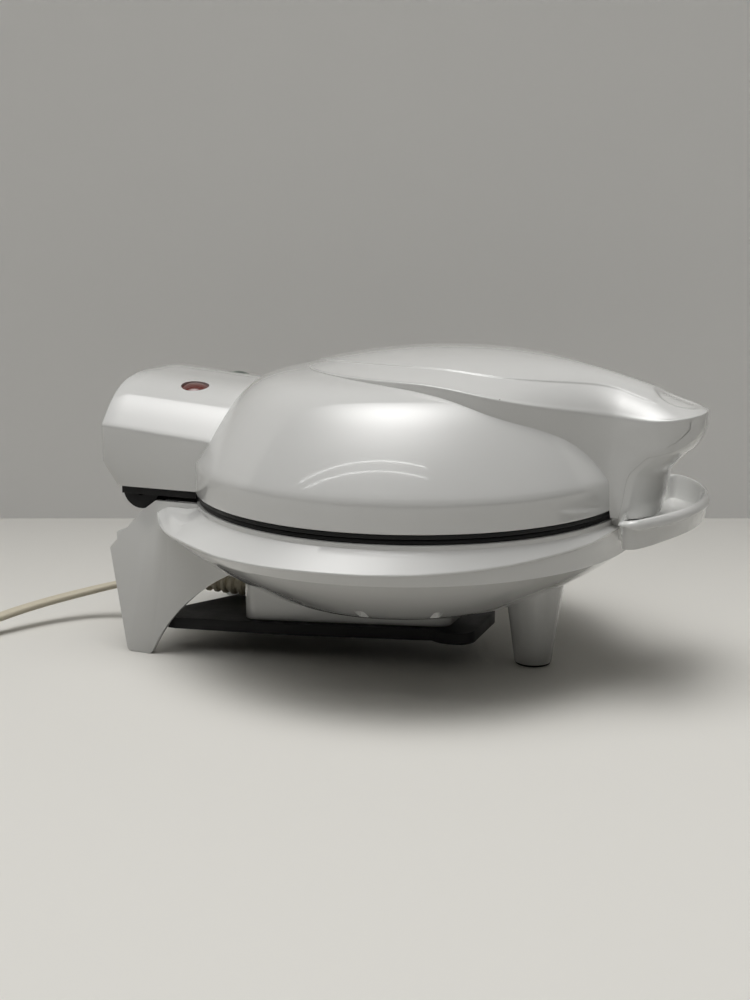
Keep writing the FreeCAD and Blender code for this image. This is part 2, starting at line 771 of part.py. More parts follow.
def plates():
    lower = donut_plate(rim_radius - plate_flange_inset, rim_radius - wall, lower_plate_z - rim_z)
    upper = donut_plate(lid_radius - plate_flange_inset, lid_radius - wall, lid_edge_z - upper_plate_z)
    lower.translate(vec(0, 0, lower_plate_z))
    upper.rotate(vec(0, 0, 0), vec(1, 0, 0), 180)
    upper.translate(vec(0, 0, upper_plate_z))
    keep("lower_plate", lower)
    keep("upper_plate", upper)
    boss = donut_depth + boss_wall
    low_back = lower_plate_z - boss
    high_back = upper_plate_z + boss
    keep("lower_element", heater(low_back - element_tube, -1))
    keep("upper_element", heater(high_back + element_tube, 1))
    keep("lower_heat_shield", heat_shield(lower_plate_z - plate_skin, -1))
    keep("upper_heat_shield", heat_shield(upper_plate_z + plate_skin, 1))
    body = post(0, 0, low_back - thermostat_height, low_back, thermostat_radius)
    width, reach, sheet = thermostat_tab
    tab = block(-thermostat_radius - reach, thermostat_radius + reach, -width / 2, width / 2,
                low_back - thermostat_height / 2, low_back - thermostat_height / 2 + sheet)
    keep("thermostat", body.fuse(tab).removeSplitter())
    fuse_z = high_back + fuse_radius
    fuse_end = vec(-fuse_length / 2, 0, fuse_z)
    keep("thermal_fuse", Part.makeCylinder(fuse_radius, fuse_length, fuse_end, vec(1, 0, 0)))


# Wiring box, cord plate and strain relief

def wiring(body):
    plan = [
        (wiring_rear[0] + wiring_corner, -wiring_rear[1] + wiring_corner),
        (wiring_front[0] - wiring_corner, -wiring_front[1] + wiring_corner),
        (wiring_front[0] - wiring_corner, wiring_front[1] - wiring_corner),
        (wiring_rear[0] + wiring_corner, wiring_rear[1] - wiring_corner),
    ]
    outer = upright(rounded_plan(plan, wiring_corner, wiring_floor_z), bowl_z - wiring_floor_z)
    inner = upright(rounded_plan(plan, wiring_corner - wiring_wall, wiring_floor_z),
                    wiring_roof_z - wiring_floor_z)
    box = outer.cut([body, inner])
    box = max(box.Solids, key=lambda s: s.Volume)
    neck = Part.makeCylinder(boot_neck_radius, 3 * wiring_wall,
                             vec(wiring_rear[0] - wiring_wall, boot_y, boot_z), vec(1, 0, 0))
    box = box.cut(neck)
    wrap_plan = list(wrap_half) + [(x, -y) for x, y in reversed(wrap_half)] + [(wrap_notch_x, 0.0)]
    wrap_z = wiring_floor_z - wrap_thickness
    wrap = upright(rounded_plan(wrap_plan, wrap_round, wrap_z), wrap_thickness)
    screws = []
    for x, y in [(x, y * side) for x, y in screw_places for side in (-1, 1)]:
        boss = post(x, y, wiring_floor_z, wiring_roof_z + wiring_roof / 2, screw_boss_radius)
        box = box.fuse(boss).cut(post(x, y, wiring_floor_z, wrap_z + screw_length, screw_radius))
        seat_z = wrap_z + screw_head_height + screw_head_gap
        seat = post(x, y, wrap_z, seat_z, screw_head_radius + screw_head_gap)
        wrap = wrap.cut([seat, post(x, y, wrap_z, wiring_floor_z, screw_radius + screw_head_gap)])
        screws.append(screw(x, y, wrap_z + screw_head_gap, wrap_z + screw_length))
    keep("wiring_box", box.removeSplitter())
    keep("cord_wrap_plate", wrap.removeSplitter())
    keep("wrap_plate_screws", *screws)
    length, width, height = terminal_size
    terminal = block(terminal_x - length / 2, terminal_x + length / 2, -width / 2, width / 2,
                     wiring_roof_z - height, wiring_roof_z)
    for x in (terminal_x - length / 4, terminal_x + length / 4):
        for y in (-width / 4, width / 4):
            terminal = terminal.cut(post(x, y, wiring_roof_z - height, wiring_roof_z - height / 2,
                                         terminal_screw_radius))
    keep("terminal_block", terminal)


def boot():
    # Ribbed sleeve on the X axis, with a flange and neck that hold the wall of the wiring box
    wall_x = wiring_rear[0]
    flange_radius_in, flange_depth = boot_flange
    rings = [
        (wall_x + wiring_wall + flange_depth, flange_radius_in), (wall_x + wiring_wall, flange_radius_in),
        (wall_x + wiring_wall, boot_neck_radius), (wall_x, boot_neck_radius), (wall_x, boot_root_radius),
    ]
    pitch = boot_length / (boot_ribs + 0.5)
    x = wall_x - pitch / 2
    rings.append((x, boot_root_radius))
    for index in range(boot_ribs):
        radius = boot_root_radius + (boot_tip_radius - boot_root_radius) * (index + 1) / boot_ribs
        core = radius - boot_rib_depth
        rings += [(x, core), (x - pitch / 2, core), (x - pitch / 2, radius), (x - pitch, radius)]
        x -= pitch
    points = [(rings[0][0], 0.0)] + rings + [(rings[-1][0], 0.0)]
    outline = polygon([vec(px, boot_y + radius, boot_z) for px, radius in points])
    keep("strain_relief", Part.Face(outline).revolve(vec(0, boot_y, boot_z), vec(1, 0, 0), 360))
    return vec(rings[-1][0], boot_y, boot_z)


# Cord: straight runs with tangent arcs, then a flat coil of two layers, a tie and the plug

def cord_section(place, forward):
    across_cord = vec(-forward.y, forward.x, 0).normalize()
    up = forward.cross(across_cord).normalize()
    half = cord_width / 2
    flat = half - cord_edge
    rise = cord_thickness / 2
    outline = ((half, 0), (flat, rise), (-flat, rise), (-half, 0), (-flat, -rise), (flat, -rise))
    return polygon([place + across_cord * a + up * b for a, b in outline])


def arc_between(start, corner, end):
    # Arc from start to end whose end tangents meet at corner
    middle = (start + end) * 0.5
    half_chord = (end - start).Length / 2
    lean = math.atan2((corner - middle).Length, half_chord)
    top = middle + (corner - middle) * (math.tan(lean / 2) / math.tan(lean))
    return Part.Arc(start, top, end).toShape()


def route_path(points):
    edges = []
    radii = []
    here = points[0]
    for before, corner, after in zip(points, points[1:], points[2:]):
        run_in = (corner - before).normalize()
        run_out = (after - corner).normalize()
        turn = run_in.getAngle(run_out)
        reach = 0.45 * min((corner - before).Length, (after - corner).Length)
        radii.append(reach / math.tan(turn / 2))
        start = corner - run_in * reach
        end = corner + run_out * reach
        edges += [line(here, start), arc_between(start, corner, end)]
        here = end
    edges.append(line(here, points[-1]))
    return Part.Wire(edges), radii


def coil_point(turn):
    # Spirals in, climbs a layer in its last half turn, then crosses out over the first layer
    angle = math.radians(coil_start_angle) - 2 * math.pi * turn
    back_out = smooth_step((turn - coil_turns_in) / coil_cross_turn)
    radius = coil_start_radius - coil_pitch * min(turn, coil_turns_in) * (1 - coil_cross_share * back_out)
    rise = smooth_step((turn - coil_turns_in + coil_cross_turn) / coil_cross_turn)
    z = tie_thickness + cord_thickness / 2 + rise * (cord_thickness + coil_layer_gap)
    return vec(coil_centre[0] + radius * math.cos(angle), coil_centre[1] + radius * math.sin(angle), z)


def coil_heading(turn):
    step = 1e-4
    return (coil_point(turn + step) - coil_point(turn - step)).normalize()


def biarc(p0, t0, p1, t1):
    chord = p1 - p0
    both = t0 + t1
    slack = 2 * (1 - t0.dot(t1))
    lead = chord.dot(both)
    reach = (math.sqrt(lead * lead + slack * chord.dot(chord)) - lead) / slack
    first = p0 + t0 * reach
    last = p1 - t1 * reach
    middle = (first + last) * 0.5
    return [arc_between(p0, first, middle), arc_between(middle, last, p1)]


def cord_and_plug(exit_point):
    turns = coil_turns_in + coil_cross_turn + coil_turns_over
    stops = [turns * index / round(turns * 4) for index in range(round(turns * 4) + 1)]
    start = coil_point(0.0)
    heading = coil_heading(0.0)
    lead_in = start - heading * cord_width
    points = [exit_point] + [vec(*p) for p in cord_route] + [lead_in - heading * coil_lead_in, lead_in]
    path, radii = route_path(points)
    print("cord radii", [round(r, 1) for r in radii])
    first = (points[1] - points[0]).normalize()
    tube = path.makePipeShell([cord_section(points[0], first)], True, False)
    area = Part.Face(cord_section(points[0], first)).Area
    print("cord tube", round(path.Length, 1), "mm long, volume over section times length",
          round(tube.Volume / (area * path.Length), 4))
    keep("power_cord", tube)
    edges = [line(lead_in, start)]
    for t0, t1 in zip(stops, stops[1:]):
        edges += biarc(coil_point(t0), coil_heading(t0), coil_point(t1), coil_heading(t1))
    end = coil_point(turns)
    out = coil_heading(turns)
    tail = end + out * coil_tail
    edges.append(line(end, tail))
    coil_path = Part.Wire(edges)
    keep("cord_coil", coil_path.makePipeShell([cord_section(lead_in, heading)], True, False))
    print("coil", round(coil_path.Length, 1), "mm long, least gap", round(coil_gap(turns), 2))
    tie(turns)
    plug(tail, out)


def coil_gap(turns):
    # Least room between neighbouring turns, sideways or between layers
    count = 400
    points = [coil_point(turns * i / count) for i in range(count + 1)]
    gaps = []
    for i, a in enumerate(points):
        for b in points[i + int(0.6 * count / turns):]:
            flat = math.hypot(a.x - b.x, a.y - b.y)
            gaps.append(max(flat - cord_width, abs(a.z - b.z) - cord_thickness))
    return min(gaps)


def tie(turns):
    angle = math.radians(tie_angle)
    samples = [coil_point(turns * i / 2000) for i in range(2001)]
    outwards = vec(math.cos(angle), math.sin(angle), 0)
    centre = vec(coil_centre[0], coil_centre[1], 0)
    beside = [p for p in samples if abs(outwards.cross(p - centre).z) < tie_width]
    near = [p for p in beside if outwards.dot(p - centre) > 0]
    reach = [outwards.dot(p - centre) for p in near]
    low = min(reach) - cord_width / 2 - tie_gap
    high = max(reach) + cord_width / 2 + tie_gap
    top = max(p.z for p in near) + cord_thickness / 2 + tie_gap
    half = tie_width / 2
    band = block(low - tie_thickness, high + tie_thickness, -half, half, 0, top + tie_thickness)
    band = band.cut(block(low, high, -tie_width, tie_width, tie_thickness, top))
    band.rotate(vec(0, 0, 0), vec(0, 0, 1), tie_angle)
    band.translate(centre)
    keep("cord_tie", band)


def plug(tail, out):
    height = 2 * tail.z
    body = block(0, plug_length, -plug_width / 2, plug_width / 2, 0, height)
    body = body.makeFillet(plug_corner, [e for e in body.Edges if e.BoundBox.ZLength > height / 2])
    blades = []
    for side in (-1, 1):
        y = side * blade_spacing / 2
        blades.append(block(plug_length, plug_length + blade_length, y - blade_thickness / 2,
                            y + blade_thickness / 2, (height - blade_width) / 2, (height + blade_width) / 2))
    turn = math.degrees(math.atan2(out.y, out.x))
    for shape in [body] + blades:
        shape.rotate(vec(0, 0, 0), vec(0, 0, 1), turn)
        shape.translate(vec(tail.x, tail.y, 0))
    keep("plug_body", body)
    keep("plug_blades", *blades)


def main():
    lid_housing()
    lid_bracket()
    lamp_pair(-1, "power_lamp_lens", "power_lamp_bulb")
    lamp_pair(1, "ready_lamp_lens", "ready_lamp_bulb")
    body = base_housing()
    plates()
    wiring(body)
    cord_and_plug(boot())
    os.makedirs("parts", exist_ok=True)
    for name, shape in pieces.items():
        placed = shape.copy()
        placed.translate(vec(to_middle, 0, 0))
        placed.exportStep(os.path.join("parts", name + ".step"))
        print(name, len(placed.Solids), placed.isValid(), round(placed.Volume / 1000, 2), "cm3")


main()
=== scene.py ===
import math
import bmesh
import bpy
import numpy as np
from mathutils import Matrix, Vector


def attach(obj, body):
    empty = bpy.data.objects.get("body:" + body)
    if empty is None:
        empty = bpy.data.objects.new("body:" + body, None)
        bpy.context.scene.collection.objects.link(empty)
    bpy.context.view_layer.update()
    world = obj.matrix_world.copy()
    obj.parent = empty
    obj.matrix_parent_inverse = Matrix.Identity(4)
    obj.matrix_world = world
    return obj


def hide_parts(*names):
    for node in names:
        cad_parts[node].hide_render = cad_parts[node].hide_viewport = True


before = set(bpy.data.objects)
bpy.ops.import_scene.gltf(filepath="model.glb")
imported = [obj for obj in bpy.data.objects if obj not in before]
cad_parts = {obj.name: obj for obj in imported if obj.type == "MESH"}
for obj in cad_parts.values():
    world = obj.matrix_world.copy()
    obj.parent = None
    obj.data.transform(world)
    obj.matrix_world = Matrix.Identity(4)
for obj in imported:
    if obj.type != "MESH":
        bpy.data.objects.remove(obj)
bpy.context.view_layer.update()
scene = bpy.context.scene
scene.view_settings.view_transform = "Standard"

mm = 0.001
plateAxis = -1.3  # x of the plates' centre in the part's own frame, in mm
weldGap = 2e-6  # points nearer than this are one, in metres


# Node trees: an input takes a plain value or another node's output

def feed(tree, node, inputs):
    for name, value in inputs.items():
        if isinstance(value, bpy.types.NodeSocket):
            tree.links.new(value, node.inputs[name])
        else:
            node.inputs[name].default_value = value
    return node


def addNode(tree, kind, inputs=None, **settings):
    node = tree.nodes.new(kind)
    for name, value in settings.items():
        setattr(node, name, value)
    return feed(tree, node, inputs or {})


def mathNode(tree, operation, *values):
    return addNode(tree, "ShaderNodeMath", dict(enumerate(values)), operation=operation).outputs[0]


def mixColour(tree, share, first, last):
    # Inputs 6 and 7 of a Mix node are its colours, and output 2 is the mixed one
    return addNode(tree, "ShaderNodeMix", {"Factor": share, 6: first, 7: last}, data_type="RGBA").outputs[2]


def noise(tree, where, **values):
    return addNode(tree, "ShaderNodeTexNoise", {"Vector": where, **values}).outputs["Fac"]


def inRange(tree, value, *limits):
    names = ("From Min", "From Max", "To Min", "To Max")
    return addNode(tree, "ShaderNodeMapRange", {"Value": value, **dict(zip(names, limits))}).outputs[0]


def newTree(name, kind, inputs, outputs):
    # Sockets are given as label, kind and, for some, a first value
    tree = bpy.data.node_groups.new(name, kind)
    for side, sockets in (("INPUT", inputs), ("OUTPUT", outputs)):
        for label, socketKind, *value in sockets:
            socket = tree.interface.new_socket(label, in_out=side, socket_type="NodeSocket" + socketKind)
            if value:
                socket.default_value = value[0]
    return tree, tree.nodes.new("NodeGroupInput").outputs, tree.nodes.new("NodeGroupOutput")


# Camera, floor and light

shot = {
    "place": (0.2351, -0.6646, 0.2295),
    "aim": (-0.0205, 0.0, 0.0727),
    "lens": 54.0,
    "sensor": 36.0,
    "nearest": 0.02,
}


def setCamera():
    data = bpy.data.cameras.new("shot")
    data.lens = shot["lens"]
    data.sensor_width = shot["sensor"]
    data.clip_start = shot["nearest"]
    camera = bpy.data.objects.new("shot", data)
    camera.location = shot["place"]
    look = Vector(shot["aim"]) - camera.location
    camera.rotation_euler = look.to_track_quat("-Z", "Y").to_euler()
    scene.collection.objects.link(camera)
    scene.camera = camera


room = {
    "floorHalf": 6.0,
    "floorZ": -0.0001,
    "roughness": 0.7,
    "floorColour": (0.80, 0.785, 0.745, 1.0),
    "wallColour": (0.92, 0.91, 0.885, 1.0),
    "wallGlow": 0.08,  # added where the camera or a reflection sees the wall
    "bounceShare": 0.6,  # of a sheet's colour, for the light it throws back
    "wallAway": 0.985,  # from the camera, along the way it looks
    "wallSize": (8.0, 1.0),
    "sky": (0.0, 6.3, 14.0),  # strength at the horizon, what the top adds, and how fast that falls off
    "skyTop": (-0.10, -0.07, 0.9925),  # towards the brightest place
    "skyColour": (1.0, 0.995, 0.98, 1.0),
    "tubes": ((-0.46, -1.06, 1.60), (-0.40, -1.19, 1.60)),
    "tubeTilt": -0.6,
    "tubeTurn": 0.15,
    "tubeSize": (1.98, 0.028),
    "tubeWatts": 1.4,
}


def stageSheet(name, corners, colour, glow=0.0):
    mesh = bpy.data.meshes.new(name)
    mesh.from_pydata(corners, [], [(0, 1, 2, 3)])
    sheet = bpy.data.objects.new(name, mesh)
    scene.collection.objects.link(sheet)
    paint = bpy.data.materials.new(name + "Paint")
    paint.use_nodes = True
    tree = paint.node_tree
    ray = addNode(tree, "ShaderNodeLightPath").outputs
    mirrored = mathNode(tree, "MAXIMUM", ray["Is Glossy Ray"], ray["Is Transmission Ray"])
    seen = mathNode(tree, "MAXIMUM", ray["Is Camera Ray"], mirrored)
    thrown = tuple(c * room["bounceShare"] for c in colour[:3]) + (1.0,)
    shader = tree.nodes["Principled BSDF"]
    feed(tree, shader, {"Roughness": room["roughness"], "Base Color": mixColour(tree, seen, thrown, colour)})
    if glow:
        lit = mathNode(tree, "MULTIPLY", seen, glow)
        feed(tree, shader, {"Emission Color": colour, "Emission Strength": lit})
    mesh.materials.append(paint)
    return tree


def seenFromFront(tree):
    # A sheet that hides nothing from a camera behind it
    mixed = addNode(tree, "ShaderNodeMixShader", {
        0: addNode(tree, "ShaderNodeNewGeometry").outputs["Backfacing"],
        1: tree.nodes["Principled BSDF"].outputs[0],
        2: addNode(tree, "ShaderNodeBsdfTransparent").outputs[0]})
    feed(tree, tree.nodes["Material Output"], {"Surface": mixed.outputs[0]})


def setSky():
    world = bpy.data.worlds.new("room")
    world.use_nodes = True
    tree = world.node_tree
    low, gain, power = room["sky"]
    way = addNode(tree, "ShaderNodeTexCoord").outputs["Generated"]
    toTop = addNode(tree, "ShaderNodeVectorMath", {0: way, 1: room["skyTop"]}, operation="DOT_PRODUCT")
    above = mathNode(tree, "MAXIMUM", toTop.outputs["Value"], 0.0)
    level = mathNode(tree, "MULTIPLY_ADD", mathNode(tree, "POWER", above, power), gain, low)
    feed(tree, tree.nodes["Background"], {"Color": room["skyColour"], "Strength": level})
    scene.world = world


def setRoom():
    half, floorZ = room["floorHalf"], room["floorZ"]
    corners = [(x * half, y * half, floorZ) for x, y in ((-1, -1), (1, -1), (1, 1), (-1, 1))]
    stageSheet("floor", corners, room["floorColour"])
    ahead = Vector(shot["aim"]) - Vector(shot["place"])
    ahead = Vector((ahead.x, ahead.y, 0)).normalized()
    foot = Vector((shot["place"][0], shot["place"][1], floorZ)) + ahead * room["wallAway"]
    wide, high = room["wallSize"]
    across = Vector((ahead.y, -ahead.x, 0)) * wide / 2
    up = Vector((0, 0, high))
    corners = [foot - across, foot + across, foot + across + up, foot - across + up]
    seenFromFront(stageSheet("wall", corners, room["wallColour"], room["wallGlow"]))
    setSky()
    for index, spot in enumerate(room["tubes"]):
        data = bpy.data.lights.new("tube%d" % index, "AREA")
        data.shape = "RECTANGLE"
        data.size, data.size_y = room["tubeSize"]
        data.energy = room["tubeWatts"]
        lamp = bpy.data.objects.new(data.name, data)
        lamp.location = spot
        lamp.rotation_euler = (room["tubeTilt"], 0.0, room["tubeTurn"])
        scene.collection.objects.link(lamp)
    print("room: floor, wall, sky and", len(room["tubes"]), "lamps")


# Finishes: each is a node material, and shared effects are node groups

effectOutputs = [("Colour", "Color"), ("Roughness", "Float"), ("Height", "Float")]


def mouldedSkinGroup():
    # Broad shade, rare specks and a fine skin, for moulded plastic, rubber and coatings; on the lenses the
    # specks are lighter and carry painted glints
    group, given, result = newTree("mouldedSkin", "ShaderNodeTree", [
        ("Colour", "Color", (0.8, 0.8, 0.8, 1)), ("Shade", "Float", 0.05),
        ("Speck Colour", "Color", (0.1, 0.1, 0.1, 1)), ("Speck Share", "Float", 0.05),
        ("Speck Scale", "Float", 120.0), ("Roughness", "Float", 0.25), ("Skin Scale", "Float", 500.0)],
        effectOutputs)
    where = addNode(group, "ShaderNodeTexCoord").outputs["Object"]
    broad = noise(group, where, Scale=11.0, Detail=4.0, Roughness=0.55)
    shade = mathNode(group, "MULTIPLY_ADD", mathNode(group, "SUBTRACT", broad, 0.5), given["Shade"], 1.0)
    tint = addNode(group, "ShaderNodeVectorMath", {0: given["Colour"], "Scale": shade}, operation="SCALE")
    cells = addNode(group, "ShaderNodeTexVoronoi", {
        "Vector": where, "Scale": given["Speck Scale"]}, feature="F1")
    small = mathNode(group, "LESS_THAN", cells.outputs["Distance"], 0.08)
    drawn = addNode(group, "ShaderNodeSeparateColor", {0: cells.outputs["Color"]})
    rare = mathNode(group, "LESS_THAN", drawn.outputs[0], given["Speck Share"])
    speck = mathNode(group, "MULTIPLY", small, rare)
    skin = noise(group, where, Scale=given["Skin Scale"], Detail=2.0, Roughness=0.5)
    wear = inRange(group, noise(group, where, Scale=60.0, Detail=5.0, Roughness=0.65), 0.3, 0.75, 0.82, 1.25)
    feed(group, result, {
        "Colour": mixColour(group, speck, tint.outputs[0], given["Speck Colour"]),
        "Roughness": mathNode(group, "MULTIPLY", wear, given["Roughness"]), "Height": skin})
    return group


def metalGrainGroup():
    # Fine drawn lines along one direction with patches of tarnish
    group, given, result = newTree("metalGrain", "ShaderNodeTree", [
        ("Colour", "Color", (0.6, 0.6, 0.6, 1)), ("Tarnish", "Color", (0.3, 0.28, 0.25, 1)),
        ("Tarnish Share", "Float", 0.3), ("Roughness", "Float", 0.35),
        ("Grain Scale", "Vector", (900.0, 900.0, 40.0))], effectOutputs)
    where = addNode(group, "ShaderNodeTexCoord").outputs["Object"]
    stretch = addNode(group, "ShaderNodeVectorMath", {
        0: where, 1: given["Grain Scale"]}, operation="MULTIPLY")
    lines = noise(group, stretch.outputs[0], Scale=1.0, Detail=3.0)
    patch = inRange(group, noise(group, where, Scale=45.0, Detail=5.0, Roughness=0.6), 0.4, 0.75, 0.0, 1.0)
    share = mathNode(group, "MULTIPLY", patch, given["Tarnish Share"])
    wear = inRange(group, lines, 0.3, 0.7, 0.75, 1.3)
    feed(group, result, {
        "Colour": mixColour(group, share, given["Colour"], given["Tarnish"]),
        "Roughness": mathNode(group, "MULTIPLY", wear, given["Roughness"]), "Height": lines})
    return group


mouldedFinishes = {
    "white_plastic": {
        "Colour": (0.83, 0.83, 0.815, 1), "Shade": 0.05, "Speck Colour": (0.16, 0.13, 0.10, 1),
        "Speck Share": 0.008, "Speck Scale": 260.0, "Roughness": 0.12, "Skin Scale": 260.0,
        "bump": 0.02, "coat": 1.0},
    "black_plastic": {
        "Colour": (0.012, 0.012, 0.013, 1), "Shade": 0.3, "Speck Colour": (0.10, 0.10, 0.10, 1),
        "Speck Share": 0.02, "Speck Scale": 300.0, "Roughness": 0.5, "Skin Scale": 1500.0,
        "bump": 0.12, "shine": 0.25},
    "nonstick_black": {
        "Colour": (0.014, 0.014, 0.015, 1), "Shade": 0.35, "Speck Colour": (0.12, 0.12, 0.12, 1),
        "Speck Share": 0.16, "Speck Scale": 900.0, "Roughness": 0.45, "Skin Scale": 2600.0,
        "bump": 0.10, "shine": 0.2},
    "ivory_vinyl": {
        "Colour": (0.66, 0.60, 0.47, 1), "Shade": 0.16, "Speck Colour": (0.22, 0.17, 0.11, 1),
        "Speck Share": 0.03, "Speck Scale": 350.0, "Roughness": 0.40, "Skin Scale": 900.0,
        "bump": 0.10},
    "block_plastic": {
        "Colour": (0.55, 0.54, 0.50, 1), "Shade": 0.1, "Speck Colour": (0.3, 0.28, 0.25, 1),
        "Speck Share": 0.03, "Speck Scale": 500.0, "Roughness": 0.45, "Skin Scale": 1100.0,
        "bump": 0.10},
    "foot_rubber": {
        "Colour": (0.035, 0.034, 0.033, 1), "Shade": 0.3, "Speck Colour": (0.16, 0.15, 0.14, 1),
        "Speck Share": 0.08, "Speck Scale": 700.0, "Roughness": 0.75, "Skin Scale": 1400.0,
        "bump": 0.25},
    "tie_black": {
        "Colour": (0.02, 0.02, 0.021, 1), "Shade": 0.3, "Speck Colour": (0.08, 0.08, 0.08, 1),
        "Speck Share": 0.03, "Speck Scale": 600.0, "Roughness": 0.5, "Skin Scale": 1700.0,
        "bump": 0.15},
    # lighter specks on half the cells: the lens's moulded prism dots, coloured lighter as painted glints
    "red_lens": {
        "Colour": (0.13, 0.012, 0.006, 1), "Shade": 0.7, "Speck Colour": (0.30, 0.03, 0.015, 1),
        "Speck Share": 0.5, "Speck Scale": 800.0, "Roughness": 0.10, "Skin Scale": 700.0,
        "bump": 0.05, "coat": 0.8},
    # lighter specks on half the cells: the lens's moulded prism dots, coloured lighter as painted glints
    "green_lens": {
        "Colour": (0.006, 0.045, 0.025, 1), "Shade": 0.7, "Speck Colour": (0.015, 0.12, 0.06, 1),
        "Speck Share": 0.5, "Speck Scale": 800.0, "Roughness": 0.10, "Skin Scale": 700.0,
        "bump": 0.05, "coat": 0.8},
    "lamp_glass": {
        "Colour": (0.55, 0.50, 0.45, 1), "Shade": 0.3, "Speck Colour": (0.4, 0.3, 0.2, 1),
        "Speck Share": 0.04, "Speck Scale": 500.0, "Roughness": 0.12, "Skin Scale": 400.0,
        "bump": 0.02, "coat": 0.5},
}

metalFinishes = {
    "heater_metal": {
        "Colour": (0.30, 0.28, 0.26, 1), "Tarnish": (0.12, 0.10, 0.09, 1), "Tarnish Share": 0.7,
        "Roughness": 0.45, "Grain Scale": (300.0, 300.0, 900.0), "bump": 0.08},
    "bright_metal": {
        "Colour": (0.66, 0.66, 0.65, 1), "Tarnish": (0.40, 0.39, 0.37, 1), "Tarnish Share": 0.3,
        "Roughness": 0.30, "Grain Scale": (120.0, 1500.0, 1500.0), "bump": 0.05},
    "pin_steel": {
        "Colour": (0.56, 0.56, 0.57, 1), "Tarnish": (0.30, 0.27, 0.24, 1), "Tarnish Share": 0.4,
        "Roughness": 0.28, "Grain Scale": (1200.0, 60.0, 1200.0), "bump": 0.06},
    "blade_brass": {
        "Colour": (0.62, 0.47, 0.20, 1), "Tarnish": (0.36, 0.25, 0.10, 1), "Tarnish Share": 0.5,
        "Roughness": 0.30, "Grain Scale": (90.0, 1500.0, 1500.0), "bump": 0.06},
}


finishFacts = {"coatRoughness": 0.04, "bumpDepth": 0.0004, "shine": 0.5}  # depth in metres


def makeFinishes():
    made = {}
    groups = ((mouldedSkinGroup(), mouldedFinishes, 0.0), (metalGrainGroup(), metalFinishes, 1.0))
    for group, table, metallic in groups:
        for name, values in table.items():
            material = bpy.data.materials.new(name)
            material.use_nodes = True
            tree = material.node_tree
            effect = addNode(tree, "ShaderNodeGroup", node_tree=group)
            for socket in effect.inputs:
                if socket.name in values:
                    socket.default_value = values[socket.name]
            bump = addNode(tree, "ShaderNodeBump", {
                "Strength": values["bump"], "Distance": finishFacts["bumpDepth"],
                "Height": effect.outputs["Height"]})
            feed(tree, tree.nodes["Principled BSDF"], {
                "Metallic": metallic, "Coat Weight": values.get("coat", 0.0),
                "Coat Roughness": finishFacts["coatRoughness"],
                "Specular IOR Level": values.get("shine", finishFacts["shine"]),
                "Base Color": effect.outputs["Colour"], "Roughness": effect.outputs["Roughness"],
                "Normal": bump.outputs["Normal"]})
            made[name] = material
    print("finishes:", len(made))
    return made


nodeFinishes = {
    "white_plastic": ("lid_shell", "upper_handle_cover", "base_shell", "rear_leg_near", "rear_leg_far",
                      "front_foot", "wiring_box"),
    "nonstick_black": ("upper_plate", "lower_plate"),
    "black_plastic": ("lid_hinge_bracket", "hinge_ears", "cord_wrap_plate"),
    "heater_metal": ("upper_element", "lower_element"),
    "bright_metal": ("upper_heat_shield", "lower_heat_shield", "thermostat", "thermal_fuse",
                     "lid_hinge_screws", "wrap_plate_screws"),
    "pin_steel": ("hinge_pin_near", "hinge_pin_far"),
    "red_lens": ("power_lamp_lens",),
    "green_lens": ("ready_lamp_lens",),
    "lamp_glass": ("power_lamp_bulb", "ready_lamp_bulb"),
    "block_plastic": ("terminal_block",),
    "foot_rubber": ("front_foot_pad",),
    "ivory_vinyl": ("strain_relief", "power_cord", "cord_coil", "plug_body"),
    "tie_black": ("cord_tie",),
    "blade_brass": ("plug_blades",),
}


def dressNodes(finishes):
    for finish, names in nodeFinishes.items():
        for name in names:
            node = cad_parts[name]
            for slot in node.material_slots:
                slot.material = finishes[finish]


# Shapes in millimetres, with x measured from the plates' centre

def inFrame(points):
    placed = np.array(points, float)
    placed[:, 0] += plateAxis
    return placed * mm


def newPiece(name, points, faces, local=False):
    mesh = bpy.data.meshes.new(name)
    spots = np.array(points, float) * mm if local else inFrame(points)
    mesh.from_pydata([tuple(p) for p in spots], [], faces)
    piece = bpy.data.objects.new(name, mesh)
    scene.collection.objects.link(piece)
    cleanMesh(mesh)
    return piece


def cleanMesh(mesh):
    form = bmesh.new()
    form.from_mesh(mesh)
    bmesh.ops.remove_doubles(form, verts=form.verts, dist=weldGap)
    bmesh.ops.dissolve_degenerate(form, dist=weldGap / 2, edges=form.edges)
    bmesh.ops.recalc_face_normals(form, faces=form.faces)
    form.to_mesh(mesh)
    form.free()


def settle(piece):
    # What the modifiers give becomes the piece's own mesh
    made = bpy.data.meshes.new_from_object(piece.evaluated_get(bpy.context.evaluated_depsgraph_get()))
    piece.modifiers.clear()
    piece.data = made
    return piece


def carve(piece, operation, *tools):
    for tool in tools:
        step = piece.modifiers.new(operation.lower(), "BOOLEAN")
        step.operation = operation
        step.solver = "EXACT"
        step.object = tool
    settle(piece)
    for tool in tools:
        bpy.data.objects.remove(tool)
    return piece


def roundEdges(piece, width, angle):
    step = piece.modifiers.new("edges", "BEVEL")
    step.width = width * mm
    step.segments = 3
    step.limit_method = "ANGLE"
    step.angle_limit = math.radians(angle)
    return settle(piece)


def place(piece, finish, body, *nodes, sharp=34.0):
    mesh = piece.data
    mesh.materials.clear()
    mesh.materials.append(finishes[finish])
    mesh.polygons.foreach_set("use_smooth", [True] * len(mesh.polygons))
    mesh.polygons.foreach_set("material_index", [0] * len(mesh.polygons))
    mesh.set_sharp_from_angle(angle=math.radians(sharp))
    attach(piece, body)
    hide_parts(*nodes)
    print("piece:", piece.name, len(mesh.polygons), "faces")
    return piece


